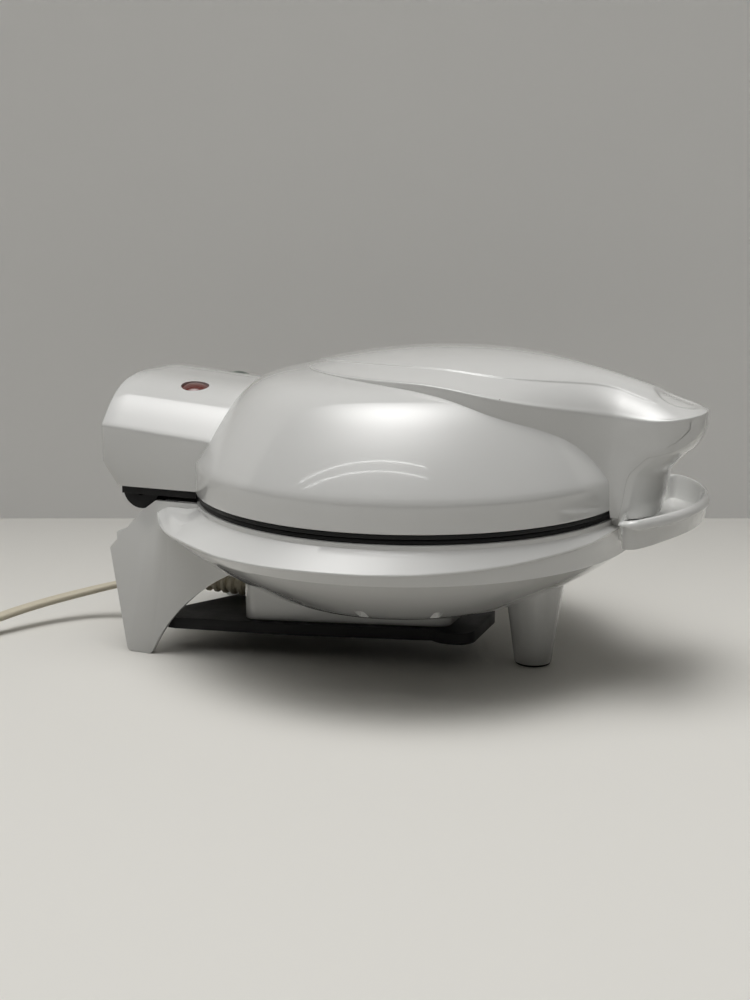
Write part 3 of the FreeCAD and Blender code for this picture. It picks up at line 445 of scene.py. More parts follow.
def smoothLine(points, count, first=None, last=None):
    # Smooth curve through the points, with its end directions if they are given
    p = np.array(points, float)
    span = np.linalg.norm(np.diff(p, axis=0), axis=1)
    t = np.concatenate([[0.0], np.cumsum(span)])
    n = len(p)
    a = np.zeros((n, n))
    b = np.zeros_like(p)
    for i in range(1, n - 1):
        a[i, i - 1:i + 2] = span[i], 2 * (span[i - 1] + span[i]), span[i - 1]
        b[i] = 3 * (span[i] * (p[i] - p[i - 1]) / span[i - 1] + span[i - 1] * (p[i + 1] - p[i]) / span[i])
    a[0, :2] = (2, 1) if first is None else (1, 0)
    b[0] = 3 * (p[1] - p[0]) / span[0] if first is None else first
    a[-1, -2:] = (1, 2) if last is None else (0, 1)
    b[-1] = 3 * (p[-1] - p[-2]) / span[-1] if last is None else last
    slope = np.linalg.solve(a, b)
    s = np.linspace(0, t[-1], count)
    k = np.clip(np.searchsorted(t, s, side="right") - 1, 0, n - 2)
    u = ((s - t[k]) / span[k])[:, None]
    h = span[k][:, None]
    return ((2 * u ** 3 - 3 * u ** 2 + 1) * p[k] + (u ** 3 - 2 * u ** 2 + u) * h * slope[k]
            + (3 * u ** 2 - 2 * u ** 3) * p[k + 1] + (u ** 3 - u ** 2) * h * slope[k + 1])


def smoothStep(share):
    share = min(max(share, 0.0), 1.0)
    return share * share * (3 - 2 * share)


def roundAngles(steps):
    return np.linspace(0, 2 * math.pi, steps, endpoint=False)


def circle(x, radius, z, steps):
    return [(x + radius * math.cos(a), radius * math.sin(a), z) for a in roundAngles(steps)]


def ringStack(rings, steps):
    # Rings of (centre x, radius, z); a radius of 0 is a closed pole
    points, loops, faces = [], [], []
    for x, radius, z in rings:
        first = len(points)
        if radius < 1e-6:
            points.append((x, 0.0, z))
            loops.append([first] * steps)
        else:
            points += circle(x, radius, z, steps)
            loops.append(list(range(first, first + steps)))
    for low, high in zip(loops, loops[1:]):
        for i in range(steps):
            j = (i + 1) % steps
            face = list(dict.fromkeys((low[i], low[j], high[j], high[i])))
            if len(face) > 2:
                faces.append(face)
    return points, faces


def loftLoops(loops):
    # Closed loops of equal length, joined in order and capped at both ends
    size = len(loops[0])
    points = [tuple(p) for loop in loops for p in loop]
    faces = [list(range(size)), list(range(len(points) - size, len(points)))[::-1]]
    for k in range(len(loops) - 1):
        for i in range(size):
            j = (i + 1) % size
            faces.append([k * size + i, k * size + j, (k + 1) * size + j, (k + 1) * size + i])
    return points, faces


def sideSlab(outline, y0, y1):
    # Outline in the XZ plane, run from y0 to y1
    return loftLoops([[(x, y0, z) for x, z in outline], [(x, y1, z) for x, z in outline]])


def roundCorners(outline, radius, steps):
    # Closed outline with an arc-like bend at each corner, at most near the middle of a short side
    rounded = []
    for i, corner in enumerate(outline):
        corner = np.array(corner, float)
        before = np.array(outline[i - 1], float) - corner
        after = np.array(outline[(i + 1) % len(outline)], float) - corner
        reach = min(radius, 0.45 * np.linalg.norm(before), 0.45 * np.linalg.norm(after))
        start = corner + before / np.linalg.norm(before) * reach
        end = corner + after / np.linalg.norm(after) * reach
        for u in np.linspace(0, 1, steps):
            rounded.append(tuple((1 - u) ** 2 * start + 2 * u * (1 - u) * corner + u ** 2 * end))
    return rounded


# Geometry Nodes trees for what repeats

geometry = ("Geometry", "Geometry")


def endTree(tree, given, result, copied):
    # The shape on the given points, made real and with its finish
    shape = addNode(tree, "GeometryNodeObjectInfo", {"Object": given["Shape"]}, transform_space="ORIGINAL")
    copies = addNode(tree, "GeometryNodeInstanceOnPoints", {"Instance": shape.outputs["Geometry"], **copied})
    real = addNode(tree, "GeometryNodeRealizeInstances", {"Geometry": copies.outputs["Instances"]})
    paint = addNode(tree, "GeometryNodeSetMaterial", {
        "Geometry": real.outputs["Geometry"], "Material": given["Material"]})
    feed(tree, result, {"Geometry": paint.outputs["Geometry"]})
    return tree


def roundTree():
    # Copies of one shape, turned about an upright axis
    tree, given, result = newTree("copiesRound", "GeometryNodeTree", [
        geometry, ("Shape", "Object"), ("Count", "Int", 6), ("Radius", "Float", 0.05),
        ("Phase", "Float", 0.0), ("Middle", "Vector", (0, 0, 0)), ("Material", "Material")], [geometry])
    index = addNode(tree, "GeometryNodeInputIndex").outputs[0]
    share = mathNode(tree, "ADD", mathNode(tree, "DIVIDE", index, given["Count"]), given["Phase"])
    angle = mathNode(tree, "MULTIPLY", share, 2 * math.pi)
    spin = addNode(tree, "ShaderNodeCombineXYZ", {"Z": angle}).outputs[0]
    arm = addNode(tree, "ShaderNodeCombineXYZ", {"X": given["Radius"]}).outputs[0]
    swing = addNode(tree, "ShaderNodeVectorRotate", {
        "Vector": arm, "Rotation": spin}, rotation_type="EULER_XYZ")
    moved = addNode(tree, "ShaderNodeVectorMath", {0: swing.outputs[0], 1: given["Middle"]}, operation="ADD")
    dots = addNode(tree, "GeometryNodePoints", {"Count": given["Count"], "Position": moved.outputs[0]})
    return endTree(tree, given, result, {"Points": dots.outputs[0], "Rotation": spin})


def lineTree():
    # Copies of one shape in a row, each scaled between a first and a last size
    tree, given, result = newTree("copiesInLine", "GeometryNodeTree", [
        geometry, ("Shape", "Object"), ("Count", "Int", 6), ("First", "Vector", (0, 0, 0)),
        ("Step", "Vector", (0, 0, 0)), ("First Size", "Float", 1.0), ("Last Size", "Float", 1.0),
        ("Material", "Material")], [geometry])
    dots = addNode(tree, "GeometryNodeMeshLine", {
        "Count": given["Count"], "Start Location": given["First"], "Offset": given["Step"]}, mode="OFFSET")
    index = addNode(tree, "GeometryNodeInputIndex").outputs[0]
    final = mathNode(tree, "SUBTRACT", given["Count"], 1.0)
    size = inRange(tree, index, 0.0, final, given["First Size"], given["Last Size"])
    across = addNode(tree, "ShaderNodeCombineXYZ", {"X": 1.0, "Y": size, "Z": size})
    return endTree(tree, given, result, {"Points": dots.outputs[0], "Scale": across.outputs[0]})


def runTree(name, tree, values):
    # A plain mesh of what the tree makes
    piece = bpy.data.objects.new(name, bpy.data.meshes.new(name))
    scene.collection.objects.link(piece)
    step = piece.modifiers.new("copies", "NODES")
    step.node_group = tree
    for socket in tree.interface.items_tree:
        if socket.in_out == "INPUT" and socket.name in values:
            step[socket.identifier] = values[socket.name]
    bpy.context.view_layer.update()
    settle(piece)
    if values.get("Shape"):
        bpy.data.objects.remove(values["Shape"])
    return piece


# Flat cord with its coil; the route's points are the part's own

cordFacts = {
    "width": 7.0,
    "thickness": 3.5,
    "exit": (-114.5, -3.0, 23.5),
    "route": ((-129.0, -3.0, 23.5), (-146.0, -2.6, 21.0), (-163.0, -4.6, 17.0), (-178.0, -13.2, 13.4),
              (-190.0, -28.0, 11.2), (-199.5, -46.0, 9.4), (-208.0, -66.0, 6.6)),
    "coilCentre": (-268.0, -92.0),
    "coilRadius": 44.0,
    "coilAngle": -22.0,
    "pitch": 7.7,
    "turnsIn": 1.5,
    "crossTurn": 0.5,
    "crossShare": 0.97,
    "turnsOver": 0.19,
    "leadIn": 20.0,
    "tail": 44.0,
    "layerGap": 0.7,
    "underTie": 0.8,
    "pointsPerTurn": 16,
    "sectionSteps": 20,
    "flatness": 2.2,
    "waist": (0.16, 0.16),  # depth and width of the hollow between the cores, as shares
    "length": 0.752,
}


def coilPoint(turn):
    f = cordFacts
    angle = math.radians(f["coilAngle"]) - 2 * math.pi * turn
    backOut = smoothStep((turn - f["turnsIn"]) / f["crossTurn"])
    radius = f["coilRadius"] - f["pitch"] * min(turn, f["turnsIn"]) * (1 - f["crossShare"] * backOut)
    rise = smoothStep((turn - f["turnsIn"] + f["crossTurn"]) / f["crossTurn"])
    z = f["underTie"] + f["thickness"] / 2 + rise * (f["thickness"] + f["layerGap"])
    return np.array((f["coilCentre"][0] + radius * math.cos(angle),
                     f["coilCentre"][1] + radius * math.sin(angle), z))


def coilHeading(turn, nearby=1e-4):
    step = coilPoint(turn + nearby) - coilPoint(turn - nearby)
    return step / np.linalg.norm(step)


def cordLine():
    # Control points of the cord's one spline
    f = cordFacts
    turns = f["turnsIn"] + f["crossTurn"] + f["turnsOver"]
    count = round(turns * f["pointsPerTurn"])
    start, heading = coilPoint(0.0), coilHeading(0.0)
    lead = start - heading * f["width"]
    points = [np.array(f["exit"])] + [np.array(p) for p in f["route"]]
    points += [lead - heading * f["leadIn"], lead]
    points += [coilPoint(turns * i / count) for i in range(count + 1)]
    points.append(points[-1] + coilHeading(turns) * f["tail"])
    return points, coilHeading(turns)


def makeCord():
    f = cordFacts
    points, out = cordLine()
    curve = bpy.data.curves.new("cordLine", "CURVE")
    curve.dimensions = "3D"
    curve.resolution_u = 10
    spline = curve.splines.new("NURBS")
    spline.points.add(len(points) - 1)
    for control, where in zip(spline.points, inFrame(points)):
        control.co = (*where, 1.0)
    spline.order_u = 3
    spline.use_endpoint_u = True
    guide = bpy.data.objects.new("cordLine", curve)
    scene.collection.objects.link(guide)
    bpy.context.view_layer.update()
    line = bpy.data.meshes.new_from_object(guide.evaluated_get(bpy.context.evaluated_depsgraph_get()))
    path = np.array([v.co[:] for v in line.vertices])
    bpy.data.objects.remove(guide)
    cord = flatTube("flatCord", path, f["width"] * mm, f["thickness"] * mm)
    place(cord, "ivory_vinyl", "base", "power_cord", "cord_coil", sharp=60.0)
    return cord, path, out, points[-1]


def flatTube(name, path, width, thickness):
    # Two round cores side by side, kept flat along the path, in metres
    f = cordFacts
    half, rise = width / 2, thickness / 2
    deep, wide = f["waist"]
    section = []
    for a in roundAngles(f["sectionSteps"]):
        flat = np.sign(math.cos(a)) * min(1, abs(math.cos(a)) * f["flatness"])
        across = (half - rise) * flat + rise * math.cos(a)
        waist = 1 - deep * math.exp(-(across / (wide * width)) ** 2)
        section.append((across, rise * math.sin(a) * waist))
    loops = []
    for p, heading in zip(path, np.gradient(path, axis=0)):
        heading = heading / np.linalg.norm(heading)
        side = np.array((-heading[1], heading[0], 0.0))
        side /= np.linalg.norm(side)
        up = np.cross(heading, side)
        loops.append([(p + side * a + up * b) / mm for a, b in section])
    return newPiece(name, *loftLoops(loops), local=True)


def declareCord():
    f = cordFacts
    tuple(inFrame([f["exit"]])[0])


# Lid: turned dome, arched rear box and top panel with the handle, joined and hollowed

lid = {
    "radius": 104.0,
    "edgeZ": 82.0,
    "lip": ((0.9, 0.0), (0.35, 0.15), (0.0, 0.7)),  # in and up from the lower edge
    "skirtTop": 93.5,
    "draft": 0.4,
    "dome": ((1.8, 4.8), (7.3, 13.6), (17.6, 27.4), (30.0, 38.8), (54.0, 45.3)),  # in and up from the skirt
    "domeHeight": 50.0,
    "wall": 2.5,
    "hollow": ((101.5, 80.0), (101.5, 91.0), (81.0, 115.7), (45.0, 133.8)),
    "hollowTop": 137.5,
    "steps": 224,
}


def lidDome():
    edge = (lid["radius"] - lid["draft"], lid["skirtTop"])
    shape = [(edge[0] - inward, edge[1] + up) for inward, up in lid["dome"]]
    crown = (0.0, lid["skirtTop"] + lid["domeHeight"])
    outline = smoothLine([edge] + shape + [crown], 64, (0.0, 1.0), (-1.0, 0.0))
    foot, z = lid["radius"], lid["edgeZ"]
    rings = [(0, 0, z)] + [(0, foot - inward, z + up) for inward, up in lid["lip"]]
    low = rings[-1][2]
    rings += [(0, foot - lid["draft"] * share, low + (edge[1] - low) * share) for share in (0.3, 0.6)]
    rings += [(0, max(r, 0.0), h) for r, h in outline]
    return newPiece("lidDome", *ringStack(rings, lid["steps"]))


def lidHollow():
    rings = [(0, 0, lid["hollow"][0][1])] + [(0, r, z) for r, z in lid["hollow"]] + [(0, 0, lid["hollowTop"])]
    return newPiece("lidHollow", *ringStack(rings, 96))


rearBox = {
    "half": 54.5,
    "rear": -137.8,
    "front": -66.0,
    "side": 111.2,
    "haunch": (39.5, 125.7),
    "crown": 132.4,
    "tilt": 5.0,
    "chamfer": (8.0, 11.3),
    "bottom": 82.03,
    "edge": 0.9,
    "hollow": (11.5, -84.0, 1.5),  # in from the rear, where it ends, and down past the lid's edge
}


def boxLoop(x, inset, bottom):
    b = rearBox
    drop = (x - b["rear"]) * math.tan(math.radians(b["tilt"])) + inset
    half = b["half"] - inset
    side = (half, b["side"] - drop)
    haunch = (b["haunch"][0] - inset / 2, b["haunch"][1] - drop)
    arch = [side, haunch, (0.0, b["crown"] - drop), (-haunch[0], haunch[1]), (-half, side[1])]
    curve = smoothLine(arch, 49)
    up = [(half, bottom + (side[1] - bottom) * share) for share in (0.0, 0.5)]
    down = [(-half, z) for _, z in reversed(up)]
    return [(x, y, z) for y, z in up + [tuple(p) for p in curve] + down]


def lidBox():
    b = rearBox
    run, rise = b["chamfer"]
    stations = [b["rear"], b["rear"] + run] + list(np.linspace(b["rear"] + run, b["front"], 12)[1:])
    loops = []
    for x in stations:
        bottom = b["bottom"] + rise * max(0.0, 1 - (x - b["rear"]) / run)
        loops.append(boxLoop(x, 0.0, bottom))
    return roundEdges(newPiece("lidBox", *loftLoops(loops)), b["edge"], 30.0)


def boxHollow():
    behind, end, below = rearBox["hollow"]
    stations = np.linspace(rearBox["rear"] + behind, end, 8)
    loops = [boxLoop(x, lid["wall"], lid["edgeZ"] - below) for x in stations]
    return newPiece("boxHollow", *loftLoops(loops))


panel = {
    "back": -50.0,
    "wide": 36.0,
    "half": 61.0,
    "peak": (24.0, 149.6),
    "bend": 290.0,
    "edgeBack": 139.8,
    "edgeFront": 123.5,
    "edgeBelow": 0.4,  # least drop from the crown to the edge
    "drop": (20.0, 118.0),
    "shoulder": 1.35,
    "handleHalf": 24.0,
    "leastHalf": 0.25,
    "root": 104.0,
    "nose": 116.5,
    "front": 138.5,
    "noseShape": 2.3,
    "neckRound": (14.4, 2.3),  # depth and power of the rounded front
    "beak": ((119.6, 79.0), (121.2, 88.0), (122.4, 95.5), (123.6, 99.0), (127.0, 102.8), (131.2, 107.0),
             (134.9, 110.4), (137.2, 114.6), (138.5, 119.0)),
    "cover": 1.6,
    "coverLift": 0.35,  # as a share of the cover
    "coverRoom": (60.0, 122.6, 170.0, 30.0),  # from z, to z, to x, half width
    "coverGap": (0.03, 0.3, 111.5),  # along the neck, at the tip, and the z that parts them
    "edge": 1.2,
    "underEdge": 0.25,
    "step": 0.55,  # height of the middle field over the border
    "stepInset": (17.0, 9.0),  # border at the back and at the handle
    "stepBlend": (60.0, 55.0),  # where the border narrows, and over what length
    "stepWidth": 0.7,
    "stepEnd": (119.0, 4.0),  # where the field ends, and over what length
    "scoop": (125.0, 11.5, 12.5, 1.5),  # x, half length, half width, depth
    "scoopRim": 0.34,
    "scoopFade": 0.55,  # share of the depth lost towards the front
    "flow": (100.0, 105.5),  # where wide and then closer stations end
    "foot": (105.0, 126.0, 0.3),  # close stations over the neck's foot
    "leastStep": 0.08,
}


def panelHalf(x):
    p = panel
    if x <= p["wide"]:
        share = (p["wide"] - x) / (p["wide"] - p["back"])
        return p["half"] * math.sqrt(max(0.0, 1 - share * share))
    if x <= p["root"]:
        share = ((x - p["wide"]) / (p["root"] - p["wide"])) ** p["shoulder"]
        return p["handleHalf"] + (p["half"] - p["handleHalf"]) * (1 + math.cos(math.pi * share)) / 2
    if x <= p["nose"]:
        return p["handleHalf"]
    share = min((x - p["nose"]) / (p["front"] - p["nose"]), 1.0)
    return p["handleHalf"] * (1 - share ** p["noseShape"]) ** (1 / p["noseShape"])


def panelCrown(x):
    peakX, peakZ = panel["peak"]
    return peakZ - panel["bend"] + math.sqrt(panel["bend"] ** 2 - (x - peakX) ** 2)


def panelEdge(x):
    p = panel
    first, last = p["drop"]
    level = p["edgeBack"] - (p["edgeBack"] - p["edgeFront"]) * smoothStep((x - first) / (last - first))
    level = min(level, panelCrown(x) - p["edgeBelow"])
    if x > p["nose"]:  # the rim rises to the crown round the nose
        level = panelCrown(x) - (panelCrown(x) - level) * panelHalf(x) / p["handleHalf"]
    return level


def panelBorder(x):
    # Width of the border, which narrows towards the handle
    first, last = panel["stepInset"]
    start, length = panel["stepBlend"]
    return first + (last - first) * smoothStep((x - start) / length)


def panelRelief(x, y):
    # Raised middle field and the thumb scoop near the nose
    p = panel
    border = panelHalf(x) - panelBorder(x)
    rise = smoothStep((border - abs(y)) / p["stepWidth"] + 0.5)
    end, run = p["stepEnd"]
    rise *= smoothStep((end - x) / run)
    scoopX, length, width, depth = p["scoop"]
    away = math.hypot((x - scoopX) / length, y / width)
    dip = depth * smoothStep((1 - away) / p["scoopRim"])
    dip *= 1 - p["scoopFade"] * smoothStep((x - scoopX) / length)
    return p["step"] * (rise - 1.0) - dip


def panelTop(x, y, half):
    crown = panelCrown(x)
    sag = max(crown - panelEdge(x), 0.02)
    bow = (half * half + sag * sag) / (2 * sag)
    return crown - bow + math.sqrt(max(bow * bow - y * y, 0.0))


def neckBack(y):
    # How far the neck's rounded front lies behind its middle
    depth, power = panel["neckRound"]
    share = min(abs(y) / panel["handleHalf"], 1.0)
    return depth * (1 - (1 - share ** power) ** (1 / power))


def neckBottom(x, y, beak):
    return float(np.interp(x + neckBack(y), beak[:, 0], beak[:, 1]))


def panelLoop(x, beak):
    # One section of the panel; the shares keep its edges and steps small where it is narrow or thin
    p = panel
    half = max(panelHalf(x), p["leastHalf"])
    edgeZ = panelEdge(x)
    bottom = neckBottom(x, half, beak)
    soft = min(p["edge"], 0.4 * half, 0.3 * (edgeZ - bottom))
    under = min(p["underEdge"], 0.3 * half)
    flat = half - soft
    border = min(max(half - panelBorder(x), 0.25 * flat), 0.9 * flat)
    reach = min(1.4 * p["stepWidth"], 0.09 * flat)
    near, far = border - reach, border + reach
    ys = np.concatenate([np.linspace(0, near, 13), np.linspace(near, far, 9)[1:],
                         np.linspace(far, flat, 11)[1:]])
    side = []
    for u in np.linspace(0, 1, 6):  # eased rim from the wall to the top
        y = (1 - u) ** 2 * half + 2 * u * (1 - u) * half + u * u * flat
        z = (1 - u) ** 2 * (edgeZ - soft) + 2 * u * (1 - u) * edgeZ + u * u * panelTop(x, flat, half)
        side.append((y, z - p["step"] * u * u))
    lower = [(half - under, bottom), (half - 0.3 * under, bottom + 0.3 * under), (half, bottom + under)]
    wall = [(half, bottom + under + (edgeZ - soft - bottom - under) * s) for s in (0.25, 0.5, 0.75)]
    top = [(y, panelTop(x, y, half) + panelRelief(x, y)) for y in ys]
    right = lower + wall + side[:-1] + top[::-1]
    left = [(-y, z) for y, z in reversed(right[:-1])]
    across = -(half - under) * np.cos(np.linspace(0, math.pi, 61))[1:-1]
    base = [(y, neckBottom(x, y, beak)) for y in across]
    loop = [(x, y, z) for y, z in right + left + base]
    if x < p["beak"][0][0]:  # behind the neck's foot the wall stops over the plates
        loop = [(a, y, max(z, lid["edgeZ"] + 1.0) if math.hypot(a, y) < lid["radius"] + 0.05 else z)
                for a, y, z in loop]
    return loop


def panelStations():
    p = panel
    turn = np.radians(np.linspace(5, 90, 40))
    back = list(p["wide"] - (p["wide"] - p["back"]) * np.cos(turn))
    middle, end = p["flow"]
    flow = list(np.linspace(p["wide"], middle, 40)[1:]) + list(np.linspace(middle, end, 12)[1:])
    nose = list(p["nose"] + (p["front"] - p["nose"]) * np.sin(np.radians(np.linspace(0, 88, 26))))
    stations = sorted(back + flow + list(np.arange(*p["foot"])) + nose)
    return [x for i, x in enumerate(stations) if i == 0 or x - stations[i - 1] > p["leastStep"]]


def lidPanel():
    beak = smoothLine(panel["beak"], 120)
    loops = [panelLoop(x, beak) for x in panelStations()]
    return newPiece("lidPanel", *loftLoops(loops))


def coverRoom(gap, tipGap, tipZ):
    # What lies in front of and under a line set back from the beak, round in plan as the neck is
    depth = panel["cover"]
    low, high, front, half = panel["coverRoom"]
    line = [(x - depth - (tipGap if z > tipZ else gap), z + panel["coverLift"] * depth)
            for x, z in smoothLine(panel["beak"], 60)]
    line = [(line[0][0], low)] + line + [(line[-1][0], high), (front, high), (front, low)]
    loops = []
    for y in -half * np.cos(np.linspace(0, math.pi, 41)):
        loops.append([(x - neckBack(y), y, z) for x, z in line])
    return newPiece("coverRoom", *loftLoops(loops))


def barrel(name, x, z, y0, y1, radius):
    loops = [[(x + radius * math.cos(a), y, z + radius * math.sin(a)) for a in roundAngles(48)]
             for y in (y0, y1)]
    return newPiece(name, *loftLoops(loops))


hinge = {
    "x": -120.0,
    "z": 80.5,
    "earRoom": 9.2,
    "earSpan": (25.6, 38.0),
    "pinRoom": 3.7,
    "pinSpan": (37.0, 51.0),
}

lamps = {
    "x": -102.5,
    "y": 25.0,
    "z": 126.63,
    "tilt": 5.0,
    "lean": 9.5,
    "radius": 6.5,
    "crown": 1.8,
    "proud": 0.3,
    "sunk": -4.0,
    "rim": ((0.0, -0.35), (0.12, -0.1)),  # in and up from the edge of the dome
    "gap": 0.28,
    "hole": (-4.2, 6.0),  # from and to, along the lens
    "steps": 64,
}


def lampMatrix(side):
    turn = Matrix.Rotation(math.radians(-side * lamps["lean"]), 4, "X")
    turn = turn @ Matrix.Rotation(math.radians(lamps["tilt"]), 4, "Y")
    spot = inFrame([(lamps["x"], side * lamps["y"], lamps["z"])])[0]
    return Matrix.Translation(spot) @ turn


def lampHole(side):
    low, high = lamps["hole"]
    wide = lamps["radius"] + lamps["gap"]
    rings = [(0, 0, low), (0, wide, low), (0, wide, high), (0, 0, high)]
    hole = newPiece("lampHole", *ringStack(rings, lamps["steps"]), local=True)
    hole.data.transform(lampMatrix(side))
    return hole


def makeLens(name, side, finish, node):
    # Domed lens, sunk in its hole
    r, low, sunk = lamps["radius"], lamps["proud"], lamps["sunk"]
    rings = [(0, 0, sunk), (0, r, sunk)] + [(0, r - inward, low + up) for inward, up in lamps["rim"]]
    for share in np.linspace(0.97, 0.0, 16):
        rings.append((0, r * share, low + lamps["crown"] * (1 - share ** 2)))
    lens = newPiece(name, *ringStack(rings, lamps["steps"]), local=True)
    lens.data.transform(lampMatrix(side))
    place(lens, finish, "lid", node)


def makeLid():
    shell = lidDome()
    gap, tipGap, tipZ = panel["coverGap"]
    carve(shell, "UNION", lidBox(), carve(lidPanel(), "DIFFERENCE", coverRoom(gap, tipGap, tipZ)))
    cover = carve(lidPanel(), "INTERSECT", coverRoom(0.0, 0.0, tipZ))
    cover.name = "handleCover"
    place(cover, "white_plastic", "lid", "upper_handle_cover", sharp=30.0)
    tools = [lidHollow(), boxHollow()]
    for side in (-1, 1):
        for kind in ("ear", "pin"):
            span = sorted(side * y for y in hinge[kind + "Span"])
            tools.append(barrel(kind + "Room", hinge["x"], hinge["z"], *span, hinge[kind + "Room"]))
        tools.append(lampHole(side))
    carve(shell, "DIFFERENCE", *tools)
    shell.name = "lidShell"
    place(shell, "white_plastic", "lid", "lid_shell", sharp=30.0)
    makeLens("redLens", -1, "red_lens", "power_lamp_lens")
    makeLens("greenLens", 1, "green_lens", "ready_lamp_lens")


# Base: rim, sloping band and bowl, rear box and lower handle, hollowed and slotted

baseRound = {
    "rim": ((102.2, 77.4), (102.75, 77.25), (103.0, 76.8), (103.0, 75.3), (103.15, 75.0)),  # radius, z
    "edgeX": -6.0,
    "edgeRadius": 112.0,
    "edgeZ": ((-112, 72.0), (-108, 71.0), (-103, 68.2), (-95, 67.3), (-82, 67.2), (-56, 65.9), (-29, 66.1),
              (-4, 66.5), (18, 66.5), (37, 66.8), (56, 67.8), (72, 69.0), (86, 70.6), (98, 72.0), (103, 74.0),
              (107, 75.0)),
    "free": (38.0, 14.0),  # half width that box and handle take up, and the ease beside it
    "rearReach": 4.4,
    "rearRun": (62.0, 46.0),  # where the reach begins, and over what length it grows
    "rearLevel": (-60.0, 66.0),  # behind this x the edge is level where it isn't clear
    "lip": ((0.15, -0.4), (0.1, -0.9), (-0.2, -1.3)),  # out and up from the edge
    "bowlX": -4.0,
    "bowl": ((110.2, 61.2), (102.8, 55.5), (92.0, 48.3), (77.3, 39.7), (61.0, 32.3), (48.0, 30.6)),
    "floor": (40.3, 30.2),
    "inner": (
        (0.0, 0.0, 78.6), (0.0, 100.5, 78.6), (0.0, 100.5, 73.75), (-6.0, 108.0, 64.6), (-4.0, 105.5, 61.0),
        (-4.0, 98.0, 56.0), (-4.0, 87.0, 49.0), (-4.0, 72.0, 41.2), (-4.0, 44.25, 33.4), (-4.0, 0.0, 32.4)),
    "steps": 224,
}

vents = {
    "count": 14,
    "phase": 0.71,
    "radius": 74.0,
    "length": 11.0,
    "width": 4.5,
    "corner": 1.6,
    "z": (28.0, 60.0),
}

grip = {
    "tip": 140.4,
    "radius": 80.0,
    "root": (106.0, 20.0),
    "rootRun": (92.0, 95.0, 98.0),
    "shoulder": (113.5, 72.0),
    "corner": 6.0,
    "leastCorner": 0.3,
    "top": ((90.0, 77.4), (101.0, 77.4), (106.0, 80.6), (112.0, 84.2), (120.0, 85.6), (130.0, 86.2),
            (140.4, 86.5)),
    "seam": ((90.0, 75.6), (101.0, 75.8), (106.0, 79.6), (112.0, 82.2), (120.0, 81.7), (130.0, 81.5),
             (140.4, 82.2)),
    "under": ((90.0, 61.0), (101.0, 64.0), (107.0, 69.5), (113.0, 71.9), (120.0, 72.6), (130.0, 74.2),
              (140.4, 75.0)),
    "belly": ((13.0, -2.2), (7.0, -1.2), (3.0, 0.0), (2.2, 0.3), (1.9, 1.1)),  # in, and up from the underside
    "groove": ((1.2, -0.4), (1.15, -0.12), (0.5, 0.0), (0.08, 0.3), (0.0, 0.7)),  # in, and up from the seam
    "rim": 2.4,
    "rimAngles": (14, 30, 46, 62, 78, 90),
    "leastRim": 0.1,
    "dish": ((4.6, 2.0), (9.0, 0.6), (13.0, -0.2)),  # in, and up from the underside
    "dishShares": (0.06, 0.14, 0.25, 0.4, 0.55, 0.7, 0.85),
    "bodyRoom": ((0, 55), (101.8, 55), (101.8, 77.2), (103.2, 77.2), (103.2, 99), (0, 99)),  # radius, z
    "neckRoom": (80.0, 121.2, 24.9, 78.1, 99.0),  # from x, to x, half width, from z, to z
}


def bandEdge(out, up, steps):
    # Outer edge of the sloping band, which lifts at both ends
    b = baseRound
    xs, zs = zip(*b["edgeZ"])
    clear, ease = b["free"]
    begin, length = b["rearRun"]
    levelX, levelZ = b["rearLevel"]
    loop = []
    for a in roundAngles(steps):
        free = smoothStep((abs(b["edgeRadius"] * math.sin(a)) - clear) / ease)
        x = b["edgeX"] + b["edgeRadius"] * math.cos(a)
        radius = b["edgeRadius"] + b["rearReach"] * free * smoothStep((-x - begin) / length) + out
        x = b["edgeX"] + radius * math.cos(a)
        z = float(np.interp(x, xs, zs))
        if x < levelX:
            z = levelZ + (z - levelZ) * free
        loop.append((x, radius * math.sin(a), z + up))
    return loop


def between(first, last, share):
    return [tuple(p) for p in np.array(first) * (1 - share) + np.array(last) * share]


def baseBody():
    b = baseRound
    steps = b["steps"]
    loops = [circle(0.0, r, z, steps) for r, z in b["rim"]]
    edge = bandEdge(0.0, 0.0, steps)
    loops += [between(loops[-1], edge, share) for share in (0.3, 0.6, 0.88, 0.97)]
    loops += [edge] + [bandEdge(out, up, steps) for out, up in b["lip"]]
    bowl = [circle(b["bowlX"], r, z, steps) for r, z in smoothLine(b["bowl"], 44)]
    loops += [between(loops[-1], bowl[0], share) for share in (0.08, 0.5)]
    loops += bowl + [circle(b["bowlX"], *b["floor"], steps)]
    return newPiece("baseShell", *loftLoops(loops))


wedge = {
    "x": (-85.0, -106.5),
    "y": 50.0,
    "z": (74.9, 62.0),
    "lipFrom": (-72.0, 55.0),  # the lip behind this x and outside this y
    "lipDepth": 1.0,
    "inside": -0.1,  # under the lip's skin
}


def rearWedge(side):
    # Straight line along the rear box, from which the band slopes to its lip
    w = wedge
    line = [(x, side * w["y"], z) for x in w["x"] for z in w["z"]]
    behind, beside = w["lipFrom"]
    lip = [p for p in bandEdge(w["inside"], w["inside"], 160) if p[0] < behind and side * p[1] > beside]
    form = bmesh.new()
    for p in line + lip + [(x, y, z - w["lipDepth"]) for x, y, z in lip]:
        form.verts.new(p)
    bmesh.ops.convex_hull(form, input=form.verts)
    loose = [v for v in form.verts if not v.link_faces]
    bmesh.ops.delete(form, geom=loose, context="VERTS")
    form.verts.index_update()
    points = [tuple(v.co) for v in form.verts]
    faces = [[v.index for v in f.verts] for f in form.faces]
    form.free()
    return newPiece("wedge", points, faces)


